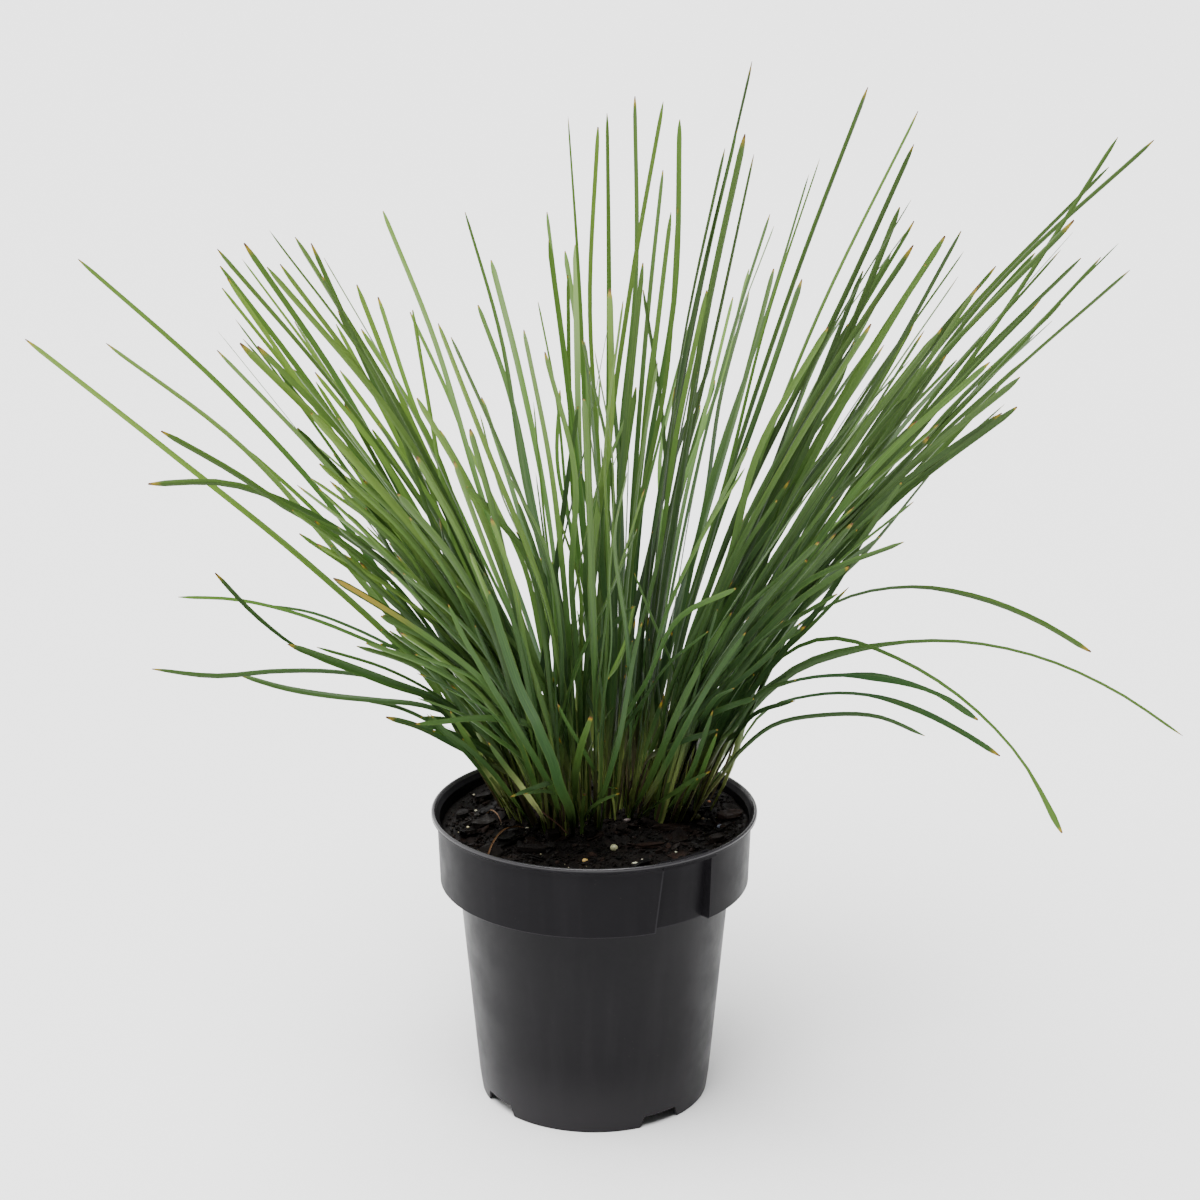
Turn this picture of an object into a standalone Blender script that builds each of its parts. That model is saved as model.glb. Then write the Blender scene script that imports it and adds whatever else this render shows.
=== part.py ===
"""A potted lomandra: a tufted, strap-leaved garden plant in a moulded plastic pot of bark mix.

Metres, +Z up. The origin is on the pot's axis, on the surface that the pot stands on. -Y is the front.
"""

from collections import namedtuple
from math import atan2, cos, pi, radians, sin, sqrt

import bmesh
import bpy
import numpy as np
from mathutils import Vector

MM = 0.001

# The pot
POT_HEIGHT = 185 * MM
RIM_RADIUS = 100 * MM
LIP_HEIGHT = 3.2 * MM
LIP_PROUD = 3.5 * MM
COLLAR_BOTTOM_RADIUS = 95.1 * MM
COLLAR_BOTTOM = 139.3 * MM
BODY_TOP_RADIUS = 83.7 * MM
FOOT_RADIUS = 71.4 * MM
FOOT_CHAMFER = 12 * MM
FOOT_CHAMFER_DEPTH = 0.5 * MM
WALL = 1.5 * MM
FLOOR_UNDERSIDE = 8 * MM
LIP_LAND = 1.5 * MM
LIP_ROUNDING = 0.8 * MM
LIP_UNDERCUT = 0.4 * MM
POT_STEPS = 40
MERGE_DISTANCE = 0.1 * MM

# The label recess and its slot, as bearings to the right of the front
RECESS_FROM = 25.2
RECESS_TO = 46.0
RECESS_LEAN = 2.8
RECESS_TOP = 180 * MM
PANEL_TOP_RADIUS = 92.4 * MM
PANEL_BOTTOM_RADIUS = 88.9 * MM
SLOT_OUTER_RADIUS = 97.2 * MM
BAND_OUTER_RADIUS = 98.6 * MM
POCKET_TOP = 182.5 * MM
BAND_OVERLAP = 1 * MM
BAND_SIDE_OVERLAP = 1
SECTOR_STEPS = 4
CUT_PAST = 2 * MM

# The notches in the foot and the drain holes
NOTCH_BEARING = 34.5
NOTCH_COUNT = 4
NOTCH_WIDTH_BELOW = 24.6
NOTCH_WIDTH_ABOVE = 18.2
NOTCH_HEIGHT = 7.5 * MM
NOTCH_OUTER_RADIUS = 79 * MM
NOTCH_INNER_RADIUS = 65 * MM
DRAIN_COUNT = 8
DRAIN_RADIUS = 4.5 * MM
DRAIN_CUT = 6 * MM
DRAIN_RING_RADIUS = 48 * MM
DRAIN_SIDES = 10

# The potting mix, with low humps and a rise to the back right
SOIL_LEVEL = 174 * MM
HUMP_HEIGHT = 1.2 * MM
HUMP_LENGTHS = (13 * MM, 11 * MM)
HUMP_PHASES = (0.6, 0.4)
RIPPLE_HEIGHT = 0.8 * MM
RIPPLE_LENGTHS = (7 * MM, 9 * MM)
RISE = 2.4 * MM
RISE_LENGTH = 140 * MM
SOIL_RINGS = (0, 24 * MM, 46 * MM, 66 * MM, 82 * MM)
SURFACE_DEPTH = 1 * MM
FIT_GAP = 0.35 * MM

# The crown, the patch of ground that the shoots grow from
CROWN_CENTRE = Vector((9 * MM, 26 * MM, 0))
CROWN_ACROSS = 65 * MM
CROWN_DEEP = 41 * MM
SHOOT_SPACING = 11 * MM
CROWN_EDGE_LEAN = radians(48)
SPREADING_ROUNDS = 500
SPREADING_EASE = 0.3
MARKED_EASE = 0.06

# A shoot: a flattened sheath out of the mix, with its leaves in a stack at the top
SHEATH_DEPTH = 10 * MM
SHEATH_HEIGHT = 34 * MM
STUB_SHEATH_HEIGHT = 10 * MM
SHEATH_UPRIGHTNESS = 1.2
SOCKET_REACH = 9 * MM
SHEATH_WIDTH = 6.4 * MM
SHEATH_LAYER = 1.5 * MM
STACK_LAYER = 1.035 * MM
LEAF_WIDTH = 4.7 * MM
LEAF_THICKNESS = 0.9 * MM
LEAF_TWIST = 65
TIP_STAGGER = 9 * MM
TIP_THICKNESS_SHARE = 0.6
RING_PLACES = (0.0, 0.2, 0.45, 0.72, 1.0)
RING_WIDTHS = (1.0, 1.0, 1.0, 0.86, 0.3)
BOW_UPRIGHT = 0.02
BOW_LEVEL = 0.13
BOW_PLACES = (0.33, 0.67)
BOW_FAR_SHARE = 0.9
UPRIGHT_LIMIT = 0.01
BEND_EASE = 0.8
CURVE_STEPS = 12
PLAIN_LEAN = 5 * MM
SEED = 7

# How the leaves part around one another
LEAF_ROOM = 5.6 * MM
LAYER_ROOM = 2.2 * MM
LAYER_ROUNDS = 30
PARTING_ROUNDS = 180
PARTING_REACH = 160 * MM
PARTING_STEP = 1.3
PARTING_MARGIN = 1.04
TIP_STEP = 1.5
HOMING_ROUNDS = 108
HOMING_SHARE = 0.02

# How the plant shows from the front: a square view, 1200 units wide, from standing height
VIEW_EYE = Vector((3.5 * MM, -1460 * MM, 758 * MM))
VIEW_TILT = radians(16.8)
VIEW_FOCAL = 2546
VIEW_CENTRE = 600

# Leaves of one shoot are listed by where their tips show in the front view, (across, down).
# A leaf with its own bends has a chain of such points, from its tip inwards.
# behind is how far behind the pot's axis the tips lie, in metres.
Shoot = namedtuple("Shoot", "name behind leaves")

SHOOTS = (
    Shoot("shoot_01", 0.03, ((25, 339), (106, 343), (78, 259))),
    Shoot("shoot_02", 0.07, ((220, 266), (222, 288), (242, 259), (244, 243))),
    Shoot("shoot_03", -0.15, ((267, 267), (280, 264), (295, 237))),
    Shoot("shoot_04", 0.11, ((311, 243), (315, 252), (255, 328))),
    Shoot("shoot_05", -0.13, ((240, 343), (243, 339), (217, 350))),
    Shoot(
        "shoot_06",
        -0.07,
        (
            ((161, 431), (232, 471), (298, 514), (365, 542), (431, 576), (475, 640)),
            ((148, 484), (206, 482), (252, 488), (298, 508), (345, 534), (430, 612)),
        ),
    ),
    Shoot(
        "shoot_07",
        0.09,
        (
            ((178, 597), (239, 600), (292, 612), (365, 640), (431, 678)),
            ((265, 605), (318, 614), (358, 630), (398, 650), (445, 682)),
        ),
    ),
    Shoot(
        "shoot_08",
        -0.12,
        (
            ((215, 573), (252, 612), (292, 645), (351, 672), (418, 693)),
            ((287, 644), (330, 660), (385, 681), (448, 707)),
        ),
    ),
    Shoot(
        "shoot_09",
        0.02,
        (
            ((152, 669), (207, 676), (282, 671), (352, 674), (428, 697)),
            ((237, 674), (298, 691), (365, 699), (431, 707), (470, 726)),
        ),
    ),
    Shoot("shoot_10", -0.08, (((386, 717), (415, 725), (450, 742)), (418, 724))),
    Shoot("shoot_11", -0.21, ((311, 413), (338, 418), (317, 446))),
    Shoot("shoot_12", -0.21, ((345, 476), (297, 485), (318, 488))),
    Shoot("shoot_13", -0.17, ((292, 510), (348, 514), (338, 527))),
    Shoot(
        "shoot_14",
        -0.14,
        (((333, 578), (371, 600), (424, 634), (474, 672)), (381, 616)),
    ),
    Shoot("shoot_15", -0.17, ((403, 573), (366, 643))),
    Shoot("shoot_16", 0.26, ((378, 297), (410, 312), (383, 211))),
    Shoot("shoot_17", -0.25, ((438, 323), (451, 337), (417, 398))),
    Shoot("shoot_18", -0.25, ((417, 457), (454, 461), (470, 429), (398, 494))),
    Shoot(
        "shoot_19",
        -0.20,
        (((466, 487), (481, 501), (514, 540), (540, 600)), (491, 518)),
    ),
    Shoot("shoot_20", 0.285, ((465, 212), (491, 260), (478, 305))),
    Shoot("shoot_21", 0.285, ((547, 212), (565, 251), (538, 302))),
    Shoot("shoot_22", -0.27, ((524, 330), (545, 352))),
    Shoot("shoot_23", 0.1, ((568, 116), (598, 127), (607, 113))),
    Shoot("shoot_24", -0.27, ((610, 289), (623, 301), (584, 399))),
    Shoot("shoot_25", 0.15, ((635, 96), (663, 170))),
    Shoot("shoot_26", -0.1, ((671, 212), (678, 207))),
    Shoot("shoot_27", -0.05, ((725, 148), (745, 134), (742, 156), (754, 154))),
    Shoot("shoot_28", 0.03, ((752, 61),)),
    Shoot(
        "shoot_29",
        0.275,
        ((770, 214), (774, 226), (749, 269), (749, 292), (733, 297)),
    ),
    Shoot("shoot_30", 0.2, ((809, 174), (802, 279))),
    Shoot("shoot_31", 0.11, ((868, 87), (820, 158))),
    Shoot("shoot_32", -0.29, ((748, 448), (745, 468))),
    Shoot("shoot_33", -0.06, ((918, 111), (914, 144), (911, 200))),
    Shoot("shoot_34", 0.22, ((914, 221), (905, 233), (891, 253))),
    Shoot("shoot_35", -0.13, ((926, 264), (945, 236), (961, 231), (964, 251))),
    Shoot("shoot_36", 0.20, ((983, 295), (996, 266), (1035, 253))),
    Shoot("shoot_37", -0.12, ((1074, 220), (1081, 258), (1101, 257))),
    Shoot("shoot_38", 0.05, ((1118, 137), (1109, 167), (1154, 140))),
    Shoot("shoot_39", -0.12, ((1130, 270), (1052, 321))),
    Shoot("shoot_40", -0.19, ((990, 362), (1020, 377), (1017, 407), (1002, 413))),
    Shoot("shoot_41", -0.16, ((942, 328), (937, 334), (911, 359))),
    Shoot("shoot_42", -0.20, ((877, 400), (871, 324), (828, 327))),
    Shoot("shoot_43", 0.26, ((914, 323), (890, 321))),
    Shoot("shoot_44", -0.17, ((904, 542), (849, 567))),
    Shoot("shoot_45", -0.12, ((784, 620), (734, 688), (754, 699))),
    Shoot(
        "shoot_46",
        0.08,
        (((1091, 652), (1020, 612), (946, 590), (885, 589), (820, 610), (760, 668)),),
    ),
    Shoot(
        "shoot_47",
        -0.08,
        (((1183, 736), (1087, 675), (1002, 648), (931, 641), (842, 653), (760, 692)),),
    ),
    Shoot(
        "shoot_48",
        -0.16,
        (((1062, 833), (1026, 766), (974, 708), (910, 665), (852, 642), (786, 650)),),
    ),
    Shoot(
        "shoot_49",
        0.10,
        (
            ((978, 720), (931, 691), (873, 677), (806, 678), (745, 704)),
            ((1000, 756), (940, 720), (879, 697), (821, 694), (763, 712)),
        ),
    ),
    Shoot("shoot_50", -0.10, (((925, 736), (888, 719), (839, 714), (769, 727)),)),
    Shoot("shoot_51", 0.26, ((440, 430), (480, 415), (465, 440))),
    Shoot("shoot_52", 0.285, ((560, 390), (600, 375), (585, 420))),
    Shoot("shoot_53", 0.29, ((680, 370), (715, 380), (700, 405))),
    Shoot("shoot_54", 0.25, ((800, 390), (835, 405), (815, 430))),
    Shoot("leaf_stub", -0.03, ((585, 794),)),
)

# Where shoots at the crown's front edge come out of the ground, in the front view
ROOT_MARKS = {
    "shoot_09": (512, 806),
    "shoot_13": (528, 815),
    "shoot_12": (540, 824),
    "shoot_18": (552, 831),
    "shoot_19": (566, 836),
    "leaf_stub": (578, 834),
    "shoot_24": (592, 830),
    "shoot_27": (634, 806),
    "shoot_22": (582, 822),
    "shoot_26": (608, 822),
    "shoot_32": (630, 818),
    "shoot_42": (646, 817),
    "shoot_44": (664, 815),
    "shoot_45": (684, 811),
    "shoot_48": (702, 806),
}

# Dead leaves on the mix, by the marks that they pass through in the front view
DEAD_LEAVES = {
    "dead_leaf_long": ((487, 857), (493, 847), (502, 839), (513, 833), (525, 829)),
    "dead_leaf_short": ((486, 817), (491, 818), (497, 821), (502, 825)),
}
DEAD_LEAF_WIDTH = 3.2 * MM
DEAD_LEAF_LIFT = 1.7 * MM
DEAD_LEAF_ARCH = 4 * MM
DEAD_LEAF_TWIST = radians(40)


def clear_scene():
    for thing in list(bpy.data.objects):
        bpy.data.objects.remove(thing, do_unlink=True)


def new_collection(name):
    collection = bpy.data.collections.new(name)
    bpy.context.scene.collection.children.link(collection)
    return collection


def plain_material(name, colour, roughness):
    material = bpy.data.materials.new(name)
    material.use_nodes = True
    shader = material.node_tree.nodes["Principled BSDF"]
    shader.inputs["Base Color"].default_value = (*colour, 1)
    shader.inputs["Roughness"].default_value = roughness
    shader.inputs["Metallic"].default_value = 0.0
    return material


def face_outwards(form):
    """Turns every face of a closed form outwards."""
    bmesh.ops.recalc_face_normals(form, faces=form.faces)
    if form.calc_volume(signed=True) < 0:
        bmesh.ops.reverse_faces(form, faces=form.faces)


def add_object(name, mesh, collection, material=None):
    thing = bpy.data.objects.new(name, mesh)
    collection.objects.link(thing)
    if material:
        mesh.materials.clear()
        mesh.materials.append(material)
    return thing


def finished_mesh(thing):
    """The object's mesh with its modifiers, as a mesh of its own."""
    bpy.context.view_layer.update()
    state = bpy.context.evaluated_depsgraph_get()
    return bpy.data.meshes.new_from_object(thing.evaluated_get(state))


def mix(start, end, share):
    return start + (end - start) * share


# Turned and swept shapes


def turned(name, profile, collection, material):
    """A profile of (radius, height) points, out along its top and down its outer side, turned about Z."""
    mesh = bpy.data.meshes.new(name)
    points = [(radius, 0, height) for radius, height in profile]
    edges = [(i, i + 1) for i in range(len(points) - 1)]
    mesh.from_pydata(points, edges, [])
    thing = add_object(name, mesh, collection, material)
    screw = thing.modifiers.new("turn", "SCREW")
    screw.axis = "Z"
    screw.steps = POT_STEPS
    screw.render_steps = POT_STEPS
    screw.use_merge_vertices = True
    screw.merge_threshold = MERGE_DISTANCE
    return thing


def sector(name, section, bearing_from, bearing_to, collection, lean=0):
    """A section of (radius, height) corners, swept about Z between two bearings.

    The side that it starts from leans by an angle over the height of the collar, so that it is wider below.
    """
    form = bmesh.new()
    start = radians(bearing_from)
    corners = []
    for radius, height in section:
        corners.append(form.verts.new((radius * sin(start), -radius * cos(start), height)))
    face = form.faces.new(corners)
    bmesh.ops.spin(
        form,
        geom=[face, *face.edges, *face.verts],
        cent=(0, 0, 0),
        axis=(0, 0, 1),
        angle=radians(bearing_to - bearing_from),
        steps=SECTOR_STEPS,
        use_duplicate=False,
    )
    for corner in form.verts:
        bearing = atan2(corner.co.x, -corner.co.y)
        side_share = (radians(bearing_to) - bearing) / radians(bearing_to - bearing_from)
        fall = max(0, RECESS_TOP - corner.co.z) / (RECESS_TOP - COLLAR_BOTTOM)
        bearing -= radians(lean) * side_share * fall
        radius = sqrt(corner.co.x**2 + corner.co.y**2)
        corner.co.x = radius * sin(bearing)
        corner.co.y = -radius * cos(bearing)
    face_outwards(form)
    mesh = bpy.data.meshes.new(name)
    form.to_mesh(mesh)
    form.free()
    return add_object(name, mesh, collection)


def hide_tool(tool):
    tool.hide_render = True
    tool.display_type = "WIRE"


def boolean(thing, tool, operation):
    hide_tool(tool)
    step = thing.modifiers.new(tool.name, "BOOLEAN")
    step.operation = operation
    step.solver = "EXACT"
    step.object = tool


# The pot


def wall_radius(height):
    """The body's outer radius between its foot and the collar."""
    return mix(FOOT_RADIUS, BODY_TOP_RADIUS, height / COLLAR_BOTTOM)


def collar_radius(height):
    """The collar's outer radius below the lip."""
    top = RIM_RADIUS - LIP_PROUD
    share = (height - COLLAR_BOTTOM) / (POT_HEIGHT - LIP_HEIGHT - COLLAR_BOTTOM)
    return mix(COLLAR_BOTTOM_RADIUS, top, share)


def panel_radius(height):
    """The label panel's outer radius."""
    share = (height - COLLAR_BOTTOM) / (RECESS_TOP - COLLAR_BOTTOM)
    return mix(PANEL_BOTTOM_RADIUS, PANEL_TOP_RADIUS, share)


def pot_profile():
    floor_top = FLOOR_UNDERSIDE + WALL
    step_top = COLLAR_BOTTOM + WALL
    lip_bottom = POT_HEIGHT - LIP_HEIGHT
    inside = [
        (0, floor_top),
        (wall_radius(floor_top) - WALL, floor_top),
        (BODY_TOP_RADIUS - WALL, step_top),
        (collar_radius(step_top) - WALL, step_top),
        (collar_radius(lip_bottom) - WALL, lip_bottom - LIP_ROUNDING),
        (RIM_RADIUS - LIP_LAND - LIP_ROUNDING / 2, POT_HEIGHT - LIP_ROUNDING),
    ]
    lip = [
        (RIM_RADIUS - LIP_LAND, POT_HEIGHT),
        (RIM_RADIUS - LIP_ROUNDING, POT_HEIGHT - LIP_ROUNDING / 8),
        (RIM_RADIUS, POT_HEIGHT - LIP_ROUNDING),
        (RIM_RADIUS, lip_bottom + LIP_UNDERCUT),
        (RIM_RADIUS - LIP_UNDERCUT, lip_bottom),
        (collar_radius(lip_bottom), lip_bottom),
    ]
    outside = [
        (COLLAR_BOTTOM_RADIUS, COLLAR_BOTTOM + LIP_ROUNDING),
        (COLLAR_BOTTOM_RADIUS - LIP_ROUNDING, COLLAR_BOTTOM),
        (BODY_TOP_RADIUS, COLLAR_BOTTOM),
        (wall_radius(FOOT_CHAMFER), FOOT_CHAMFER),
        (FOOT_RADIUS - FOOT_CHAMFER_DEPTH, 0),
        (FOOT_RADIUS - FOOT_CHAMFER_DEPTH - WALL, 0),
        (wall_radius(FLOOR_UNDERSIDE) - WALL - FOOT_CHAMFER_DEPTH, FLOOR_UNDERSIDE),
        (0, FLOOR_UNDERSIDE),
    ]
    return inside + lip + outside


def label_pocket(name, gap, collection):
    """The block that backs the label recess, swollen by a gap where the mix is shaped round it."""
    wall = WALL + gap
    side = wall / PANEL_TOP_RADIUS * 180 / pi
    bottom = COLLAR_BOTTOM + WALL / 2 - gap
    section = [
        (panel_radius(bottom) - wall, bottom),
        (collar_radius(bottom) - WALL / 2 + gap, bottom),
        (collar_radius(POCKET_TOP) - WALL / 2 + gap, POCKET_TOP + gap),
        (panel_radius(POCKET_TOP) - wall, POCKET_TOP + gap),
    ]
    return sector(name, section, RECESS_FROM - side, RECESS_TO + side, collection, RECESS_LEAN)


def label_cuts(pot, tools):
    """The recess in the collar, the band that bridges its top and the slot behind the band."""
    boolean(pot, label_pocket("label_pocket", 0, tools), "UNION")
    band_top = POT_HEIGHT - LIP_HEIGHT + BAND_OVERLAP
    band = [
        (SLOT_OUTER_RADIUS - BAND_OVERLAP, RECESS_TOP),
        (BAND_OUTER_RADIUS, RECESS_TOP),
        (BAND_OUTER_RADIUS, band_top),
        (SLOT_OUTER_RADIUS - BAND_OVERLAP, band_top),
    ]
    band_from = RECESS_FROM - BAND_SIDE_OVERLAP
    band_to = RECESS_TO + BAND_SIDE_OVERLAP
    boolean(pot, sector("label_band", band, band_from, band_to, tools), "UNION")
    low = COLLAR_BOTTOM - CUT_PAST
    recess = [
        (panel_radius(low), low),
        (RIM_RADIUS + CUT_PAST, low),
        (RIM_RADIUS + CUT_PAST, RECESS_TOP),
        (panel_radius(RECESS_TOP), RECESS_TOP),
    ]
    cutter = sector("label_recess", recess, RECESS_FROM, RECESS_TO, tools, RECESS_LEAN)
    boolean(pot, cutter, "DIFFERENCE")
    low = RECESS_TOP - CUT_PAST / 2
    high = POT_HEIGHT + CUT_PAST / 2
    slot = [
        (panel_radius(low), low),
        (SLOT_OUTER_RADIUS, low),
        (SLOT_OUTER_RADIUS, high),
        (panel_radius(low), high),
    ]
    boolean(pot, sector("label_slot", slot, RECESS_FROM, RECESS_TO, tools), "DIFFERENCE")


def foot_notch(index, tools):
    """A cutter through the foot, wider below than above."""
    bearing = NOTCH_BEARING + 360 / NOTCH_COUNT * index
    form = bmesh.new()
    bmesh.ops.create_cube(form, size=1)
    for corner in form.verts:
        above = corner.co.z > 0
        width = NOTCH_WIDTH_ABOVE if above else NOTCH_WIDTH_BELOW
        angle = radians(bearing + width / 2 * (1 if corner.co.x > 0 else -1))
        radius = NOTCH_OUTER_RADIUS if corner.co.y > 0 else NOTCH_INNER_RADIUS
        height = NOTCH_HEIGHT if above else -CUT_PAST
        corner.co = (radius * sin(angle), -radius * cos(angle), height)
    face_outwards(form)
    mesh = bpy.data.meshes.new("foot_notch")
    form.to_mesh(mesh)
    form.free()
    return add_object(f"foot_notch_{index + 1}", mesh, tools)


def drain_hole(index, tools):
    angle = 2 * pi * index / DRAIN_COUNT
    form = bmesh.new()
    bmesh.ops.create_cone(
        form,
        cap_ends=True,
        segments=DRAIN_SIDES,
        radius1=DRAIN_RADIUS,
        radius2=DRAIN_RADIUS,
        depth=DRAIN_CUT,
    )
    middle = Vector((DRAIN_RING_RADIUS * sin(angle), -DRAIN_RING_RADIUS * cos(angle), 0))
    middle.z = FLOOR_UNDERSIDE + WALL / 2
    bmesh.ops.translate(form, verts=form.verts, vec=middle)
    mesh = bpy.data.meshes.new("drain_hole")
    form.to_mesh(mesh)
    form.free()
    return add_object(f"drain_hole_{index + 1}", mesh, tools)


def make_pot(parts, tools):
    plastic = plain_material("pot plastic", (0.035, 0.034, 0.038), 0.42)
    pot = turned("pot", pot_profile(), parts, plastic)
    label_cuts(pot, tools)
    for index in range(NOTCH_COUNT):
        boolean(pot, foot_notch(index, tools), "DIFFERENCE")
    for index in range(DRAIN_COUNT):
        boolean(pot, drain_hole(index, tools), "DIFFERENCE")
    return pot


# The potting mix


def ground(x, y):
    """The height of the mix at a place."""
    across = sin(x / HUMP_LENGTHS[0] + HUMP_PHASES[0])
    deep = cos(y / HUMP_LENGTHS[1] + HUMP_PHASES[1])
    ripple = RIPPLE_HEIGHT * sin(x / RIPPLE_LENGTHS[0] - y / RIPPLE_LENGTHS[1])
    return SOIL_LEVEL + HUMP_HEIGHT * across * deep + ripple + RISE * (x + y) / RISE_LENGTH


def mix_profile():
    floor_top = FLOOR_UNDERSIDE + WALL
    step_top = COLLAR_BOTTOM + WALL
    top = [(radius, SOIL_LEVEL) for radius in SOIL_RINGS]
    side = [
        (collar_radius(SOIL_LEVEL) - WALL - FIT_GAP, SOIL_LEVEL),
        (collar_radius(step_top) - WALL - FIT_GAP, step_top + FIT_GAP),
        (BODY_TOP_RADIUS - WALL - FIT_GAP, step_top + FIT_GAP),
        (wall_radius(floor_top) - WALL - FIT_GAP, floor_top + FIT_GAP),
        (0, floor_top + FIT_GAP),
    ]
    return top + side


def make_potting_mix(parts, tools):
    bark = plain_material("bark mix", (0.022, 0.016, 0.011), 0.92)
    turned_mix = turned("turned_mix", mix_profile(), tools, bark)
    mesh = finished_mesh(turned_mix)
    bpy.data.objects.remove(turned_mix)
    for corner in mesh.vertices:
        if corner.co.z > SOIL_LEVEL - SURFACE_DEPTH:
            corner.co.z = ground(corner.co.x, corner.co.y)
    heap = add_object("potting_mix", mesh, parts, bark)
    boolean(heap, label_pocket("label_clearance", FIT_GAP, tools), "DIFFERENCE")
    return heap


# Where leaves go


def seen(across, down, behind):
    """The point at a given distance behind the pot's axis that shows at this place in the front view."""
    forward = Vector((0, cos(VIEW_TILT), -sin(VIEW_TILT)))
    upward = Vector((0, sin(VIEW_TILT), cos(VIEW_TILT)))
    ray = forward + upward * ((VIEW_CENTRE - down) / VIEW_FOCAL)
    ray.x = (across - VIEW_CENTRE) / VIEW_FOCAL
    return VIEW_EYE + ray * ((behind - VIEW_EYE.y) / ray.y)


def seen_on_ground(across, down):
    """The point at soil level that shows at this place in the front view."""
    near = seen(across, down, 0)
    ray = near - VIEW_EYE
    return VIEW_EYE + ray * ((SOIL_LEVEL - VIEW_EYE.z) / ray.z)


def leaf_marks(leaf):
    """The leaf's points in the front view, from its tip inwards."""
    return leaf if isinstance(leaf[0], tuple) else (leaf,)


def shoot_tip(shoot):
    """The middle of the shoot's tips."""
    tips = [leaf_marks(leaf)[0] for leaf in shoot.leaves]
    across = sum(tip[0] for tip in tips) / len(tips)
    down = sum(tip[1] for tip in tips) / len(tips)
    return seen(across, down, shoot.behind)


def crown_places():
    """A root for each shoot: the further its leaves lean out, the nearer it is to the crown's edge."""
    places = []
    for shoot in SHOOTS:
        if shoot.name in ROOT_MARKS:
            place = seen_on_ground(*ROOT_MARKS[shoot.name]) - CROWN_CENTRE
            places.append((place.x, place.y))
            continue
        lean = shoot_tip(shoot) - CROWN_CENTRE
        reach = sqrt(lean.x**2 + lean.y**2)
        share = min(1, atan2(reach, lean.z - SOIL_LEVEL) / CROWN_EDGE_LEAN)
        angle = atan2(lean.y, lean.x)
        places.append((CROWN_ACROSS * share * cos(angle), CROWN_DEEP * share * sin(angle)))
    places = np.array(places)
    marked = np.array([shoot.name in ROOT_MARKS for shoot in SHOOTS])
    ease = np.where(marked, MARKED_EASE, SPREADING_EASE)[:, None]
    limits = np.array((CROWN_ACROSS, CROWN_DEEP))
    for _ in range(SPREADING_ROUNDS):
        gaps = places[:, None, :] - places[None, :, :]
        apart = np.linalg.norm(gaps, axis=2) + 1e-9
        push = np.clip(SHOOT_SPACING - apart, 0, None)
        np.fill_diagonal(push, 0)
        places = places + ease * (gaps / apart[:, :, None] * push[:, :, None]).sum(axis=1)
        out = np.linalg.norm(places / limits, axis=1)
        out[marked] = 1
        places = places / np.clip(out, 1, None)[:, None]
    return [Vector((x + CROWN_CENTRE.x, y + CROWN_CENTRE.y, 0)) for x, y in places]


def smooth_chain(points, places):
    """Points at the given shares of the way along a smooth curve through the points."""
    ends = [points[0] * 2 - points[1], *points, points[-1] * 2 - points[-2]]
    fine = []
    for i in range(1, len(ends) - 2):
        for step in range(CURVE_STEPS):
            t = step / CURVE_STEPS
            a, b, c, d = ends[i - 1 : i + 3]
            curve = b * 2 + (c - a) * t + (a * 2 - b * 5 + c * 4 - d) * t**2
            fine.append((curve + (b * 3 - a - c * 3 + d) * t**3) * 0.5)
    fine.append(points[-1])
    lengths = [0.0]
    for before, after in zip(fine, fine[1:]):
        lengths.append(lengths[-1] + (after - before).length)
    found = []
    for place in places:
        want = place * lengths[-1]
        i = min(sum(length <= want for length in lengths), len(fine) - 1)
        share = (want - lengths[i - 1]) / (lengths[i] - lengths[i - 1])
        found.append(fine[i - 1].lerp(fine[i], share))
    return found


def arched(root, tip):
    """Ring centres of a plain leaf, which bows up from the straight line to its tip."""
    line = tip - root
    length = line.length
    heading = line.normalized()
    bow = Vector((0, 0, 1)) - heading * heading.z
    flat = sqrt(max(0, 1 - heading.z**2))
    rise = Vector()
    if flat > UPRIGHT_LIMIT:
        rise = bow.normalized() * length * (BOW_UPRIGHT + BOW_LEVEL * flat**2)
    near = root + line * BOW_PLACES[0] + rise
    far = root + line * BOW_PLACES[1] + rise * BOW_FAR_SHARE
    rings = []
    for t in RING_PLACES:
        inner = root * (1 - t) ** 3 + near * 3 * t * (1 - t) ** 2
        outer = far * 3 * t**2 * (1 - t) + tip * t**3
        rings.append(inner + outer)
    return rings


def bent(root, marks, depth):
    """Ring centres of a leaf that follows its marks, going steadily from its root's depth to its tip's."""
    chain = [root]
    inward = list(reversed(marks))
    for i, (across, down) in enumerate(inward):
        share = ((i + 1) / len(inward)) ** BEND_EASE
        chain.append(seen(across, down, mix(root.y, depth, share)))
    count = len(marks) + 1
    return smooth_chain(chain, [i / count for i in range(count + 1)])


def place_leaves(roots):
    """Every leaf's ring centres, before the leaves part around one another."""
    leaves = []
    for number, (shoot, root) in enumerate(zip(SHOOTS, roots)):
        stand = Vector((root.x, root.y, ground(root.x, root.y)))
        lean = shoot_tip(shoot) - stand
        axis = (lean.normalized() + Vector((0, 0, SHEATH_UPRIGHTNESS))).normalized()
        top = stand + axis * (STUB_SHEATH_HEIGHT if shoot.name == "leaf_stub" else SHEATH_HEIGHT)
        spread = len(shoot.leaves) - 1
        for index, leaf in enumerate(shoot.leaves):
            marks = leaf_marks(leaf)
            depth = shoot.behind + (index - spread / 2) * TIP_STAGGER
            if len(marks) > 1:
                rings = bent(top, marks, depth)
            else:
                rings = arched(top, seen(*marks[0], depth))
            leaves.append({"shoot": number, "rings": rings, "bent": len(marks) > 1})
    return leaves


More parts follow.
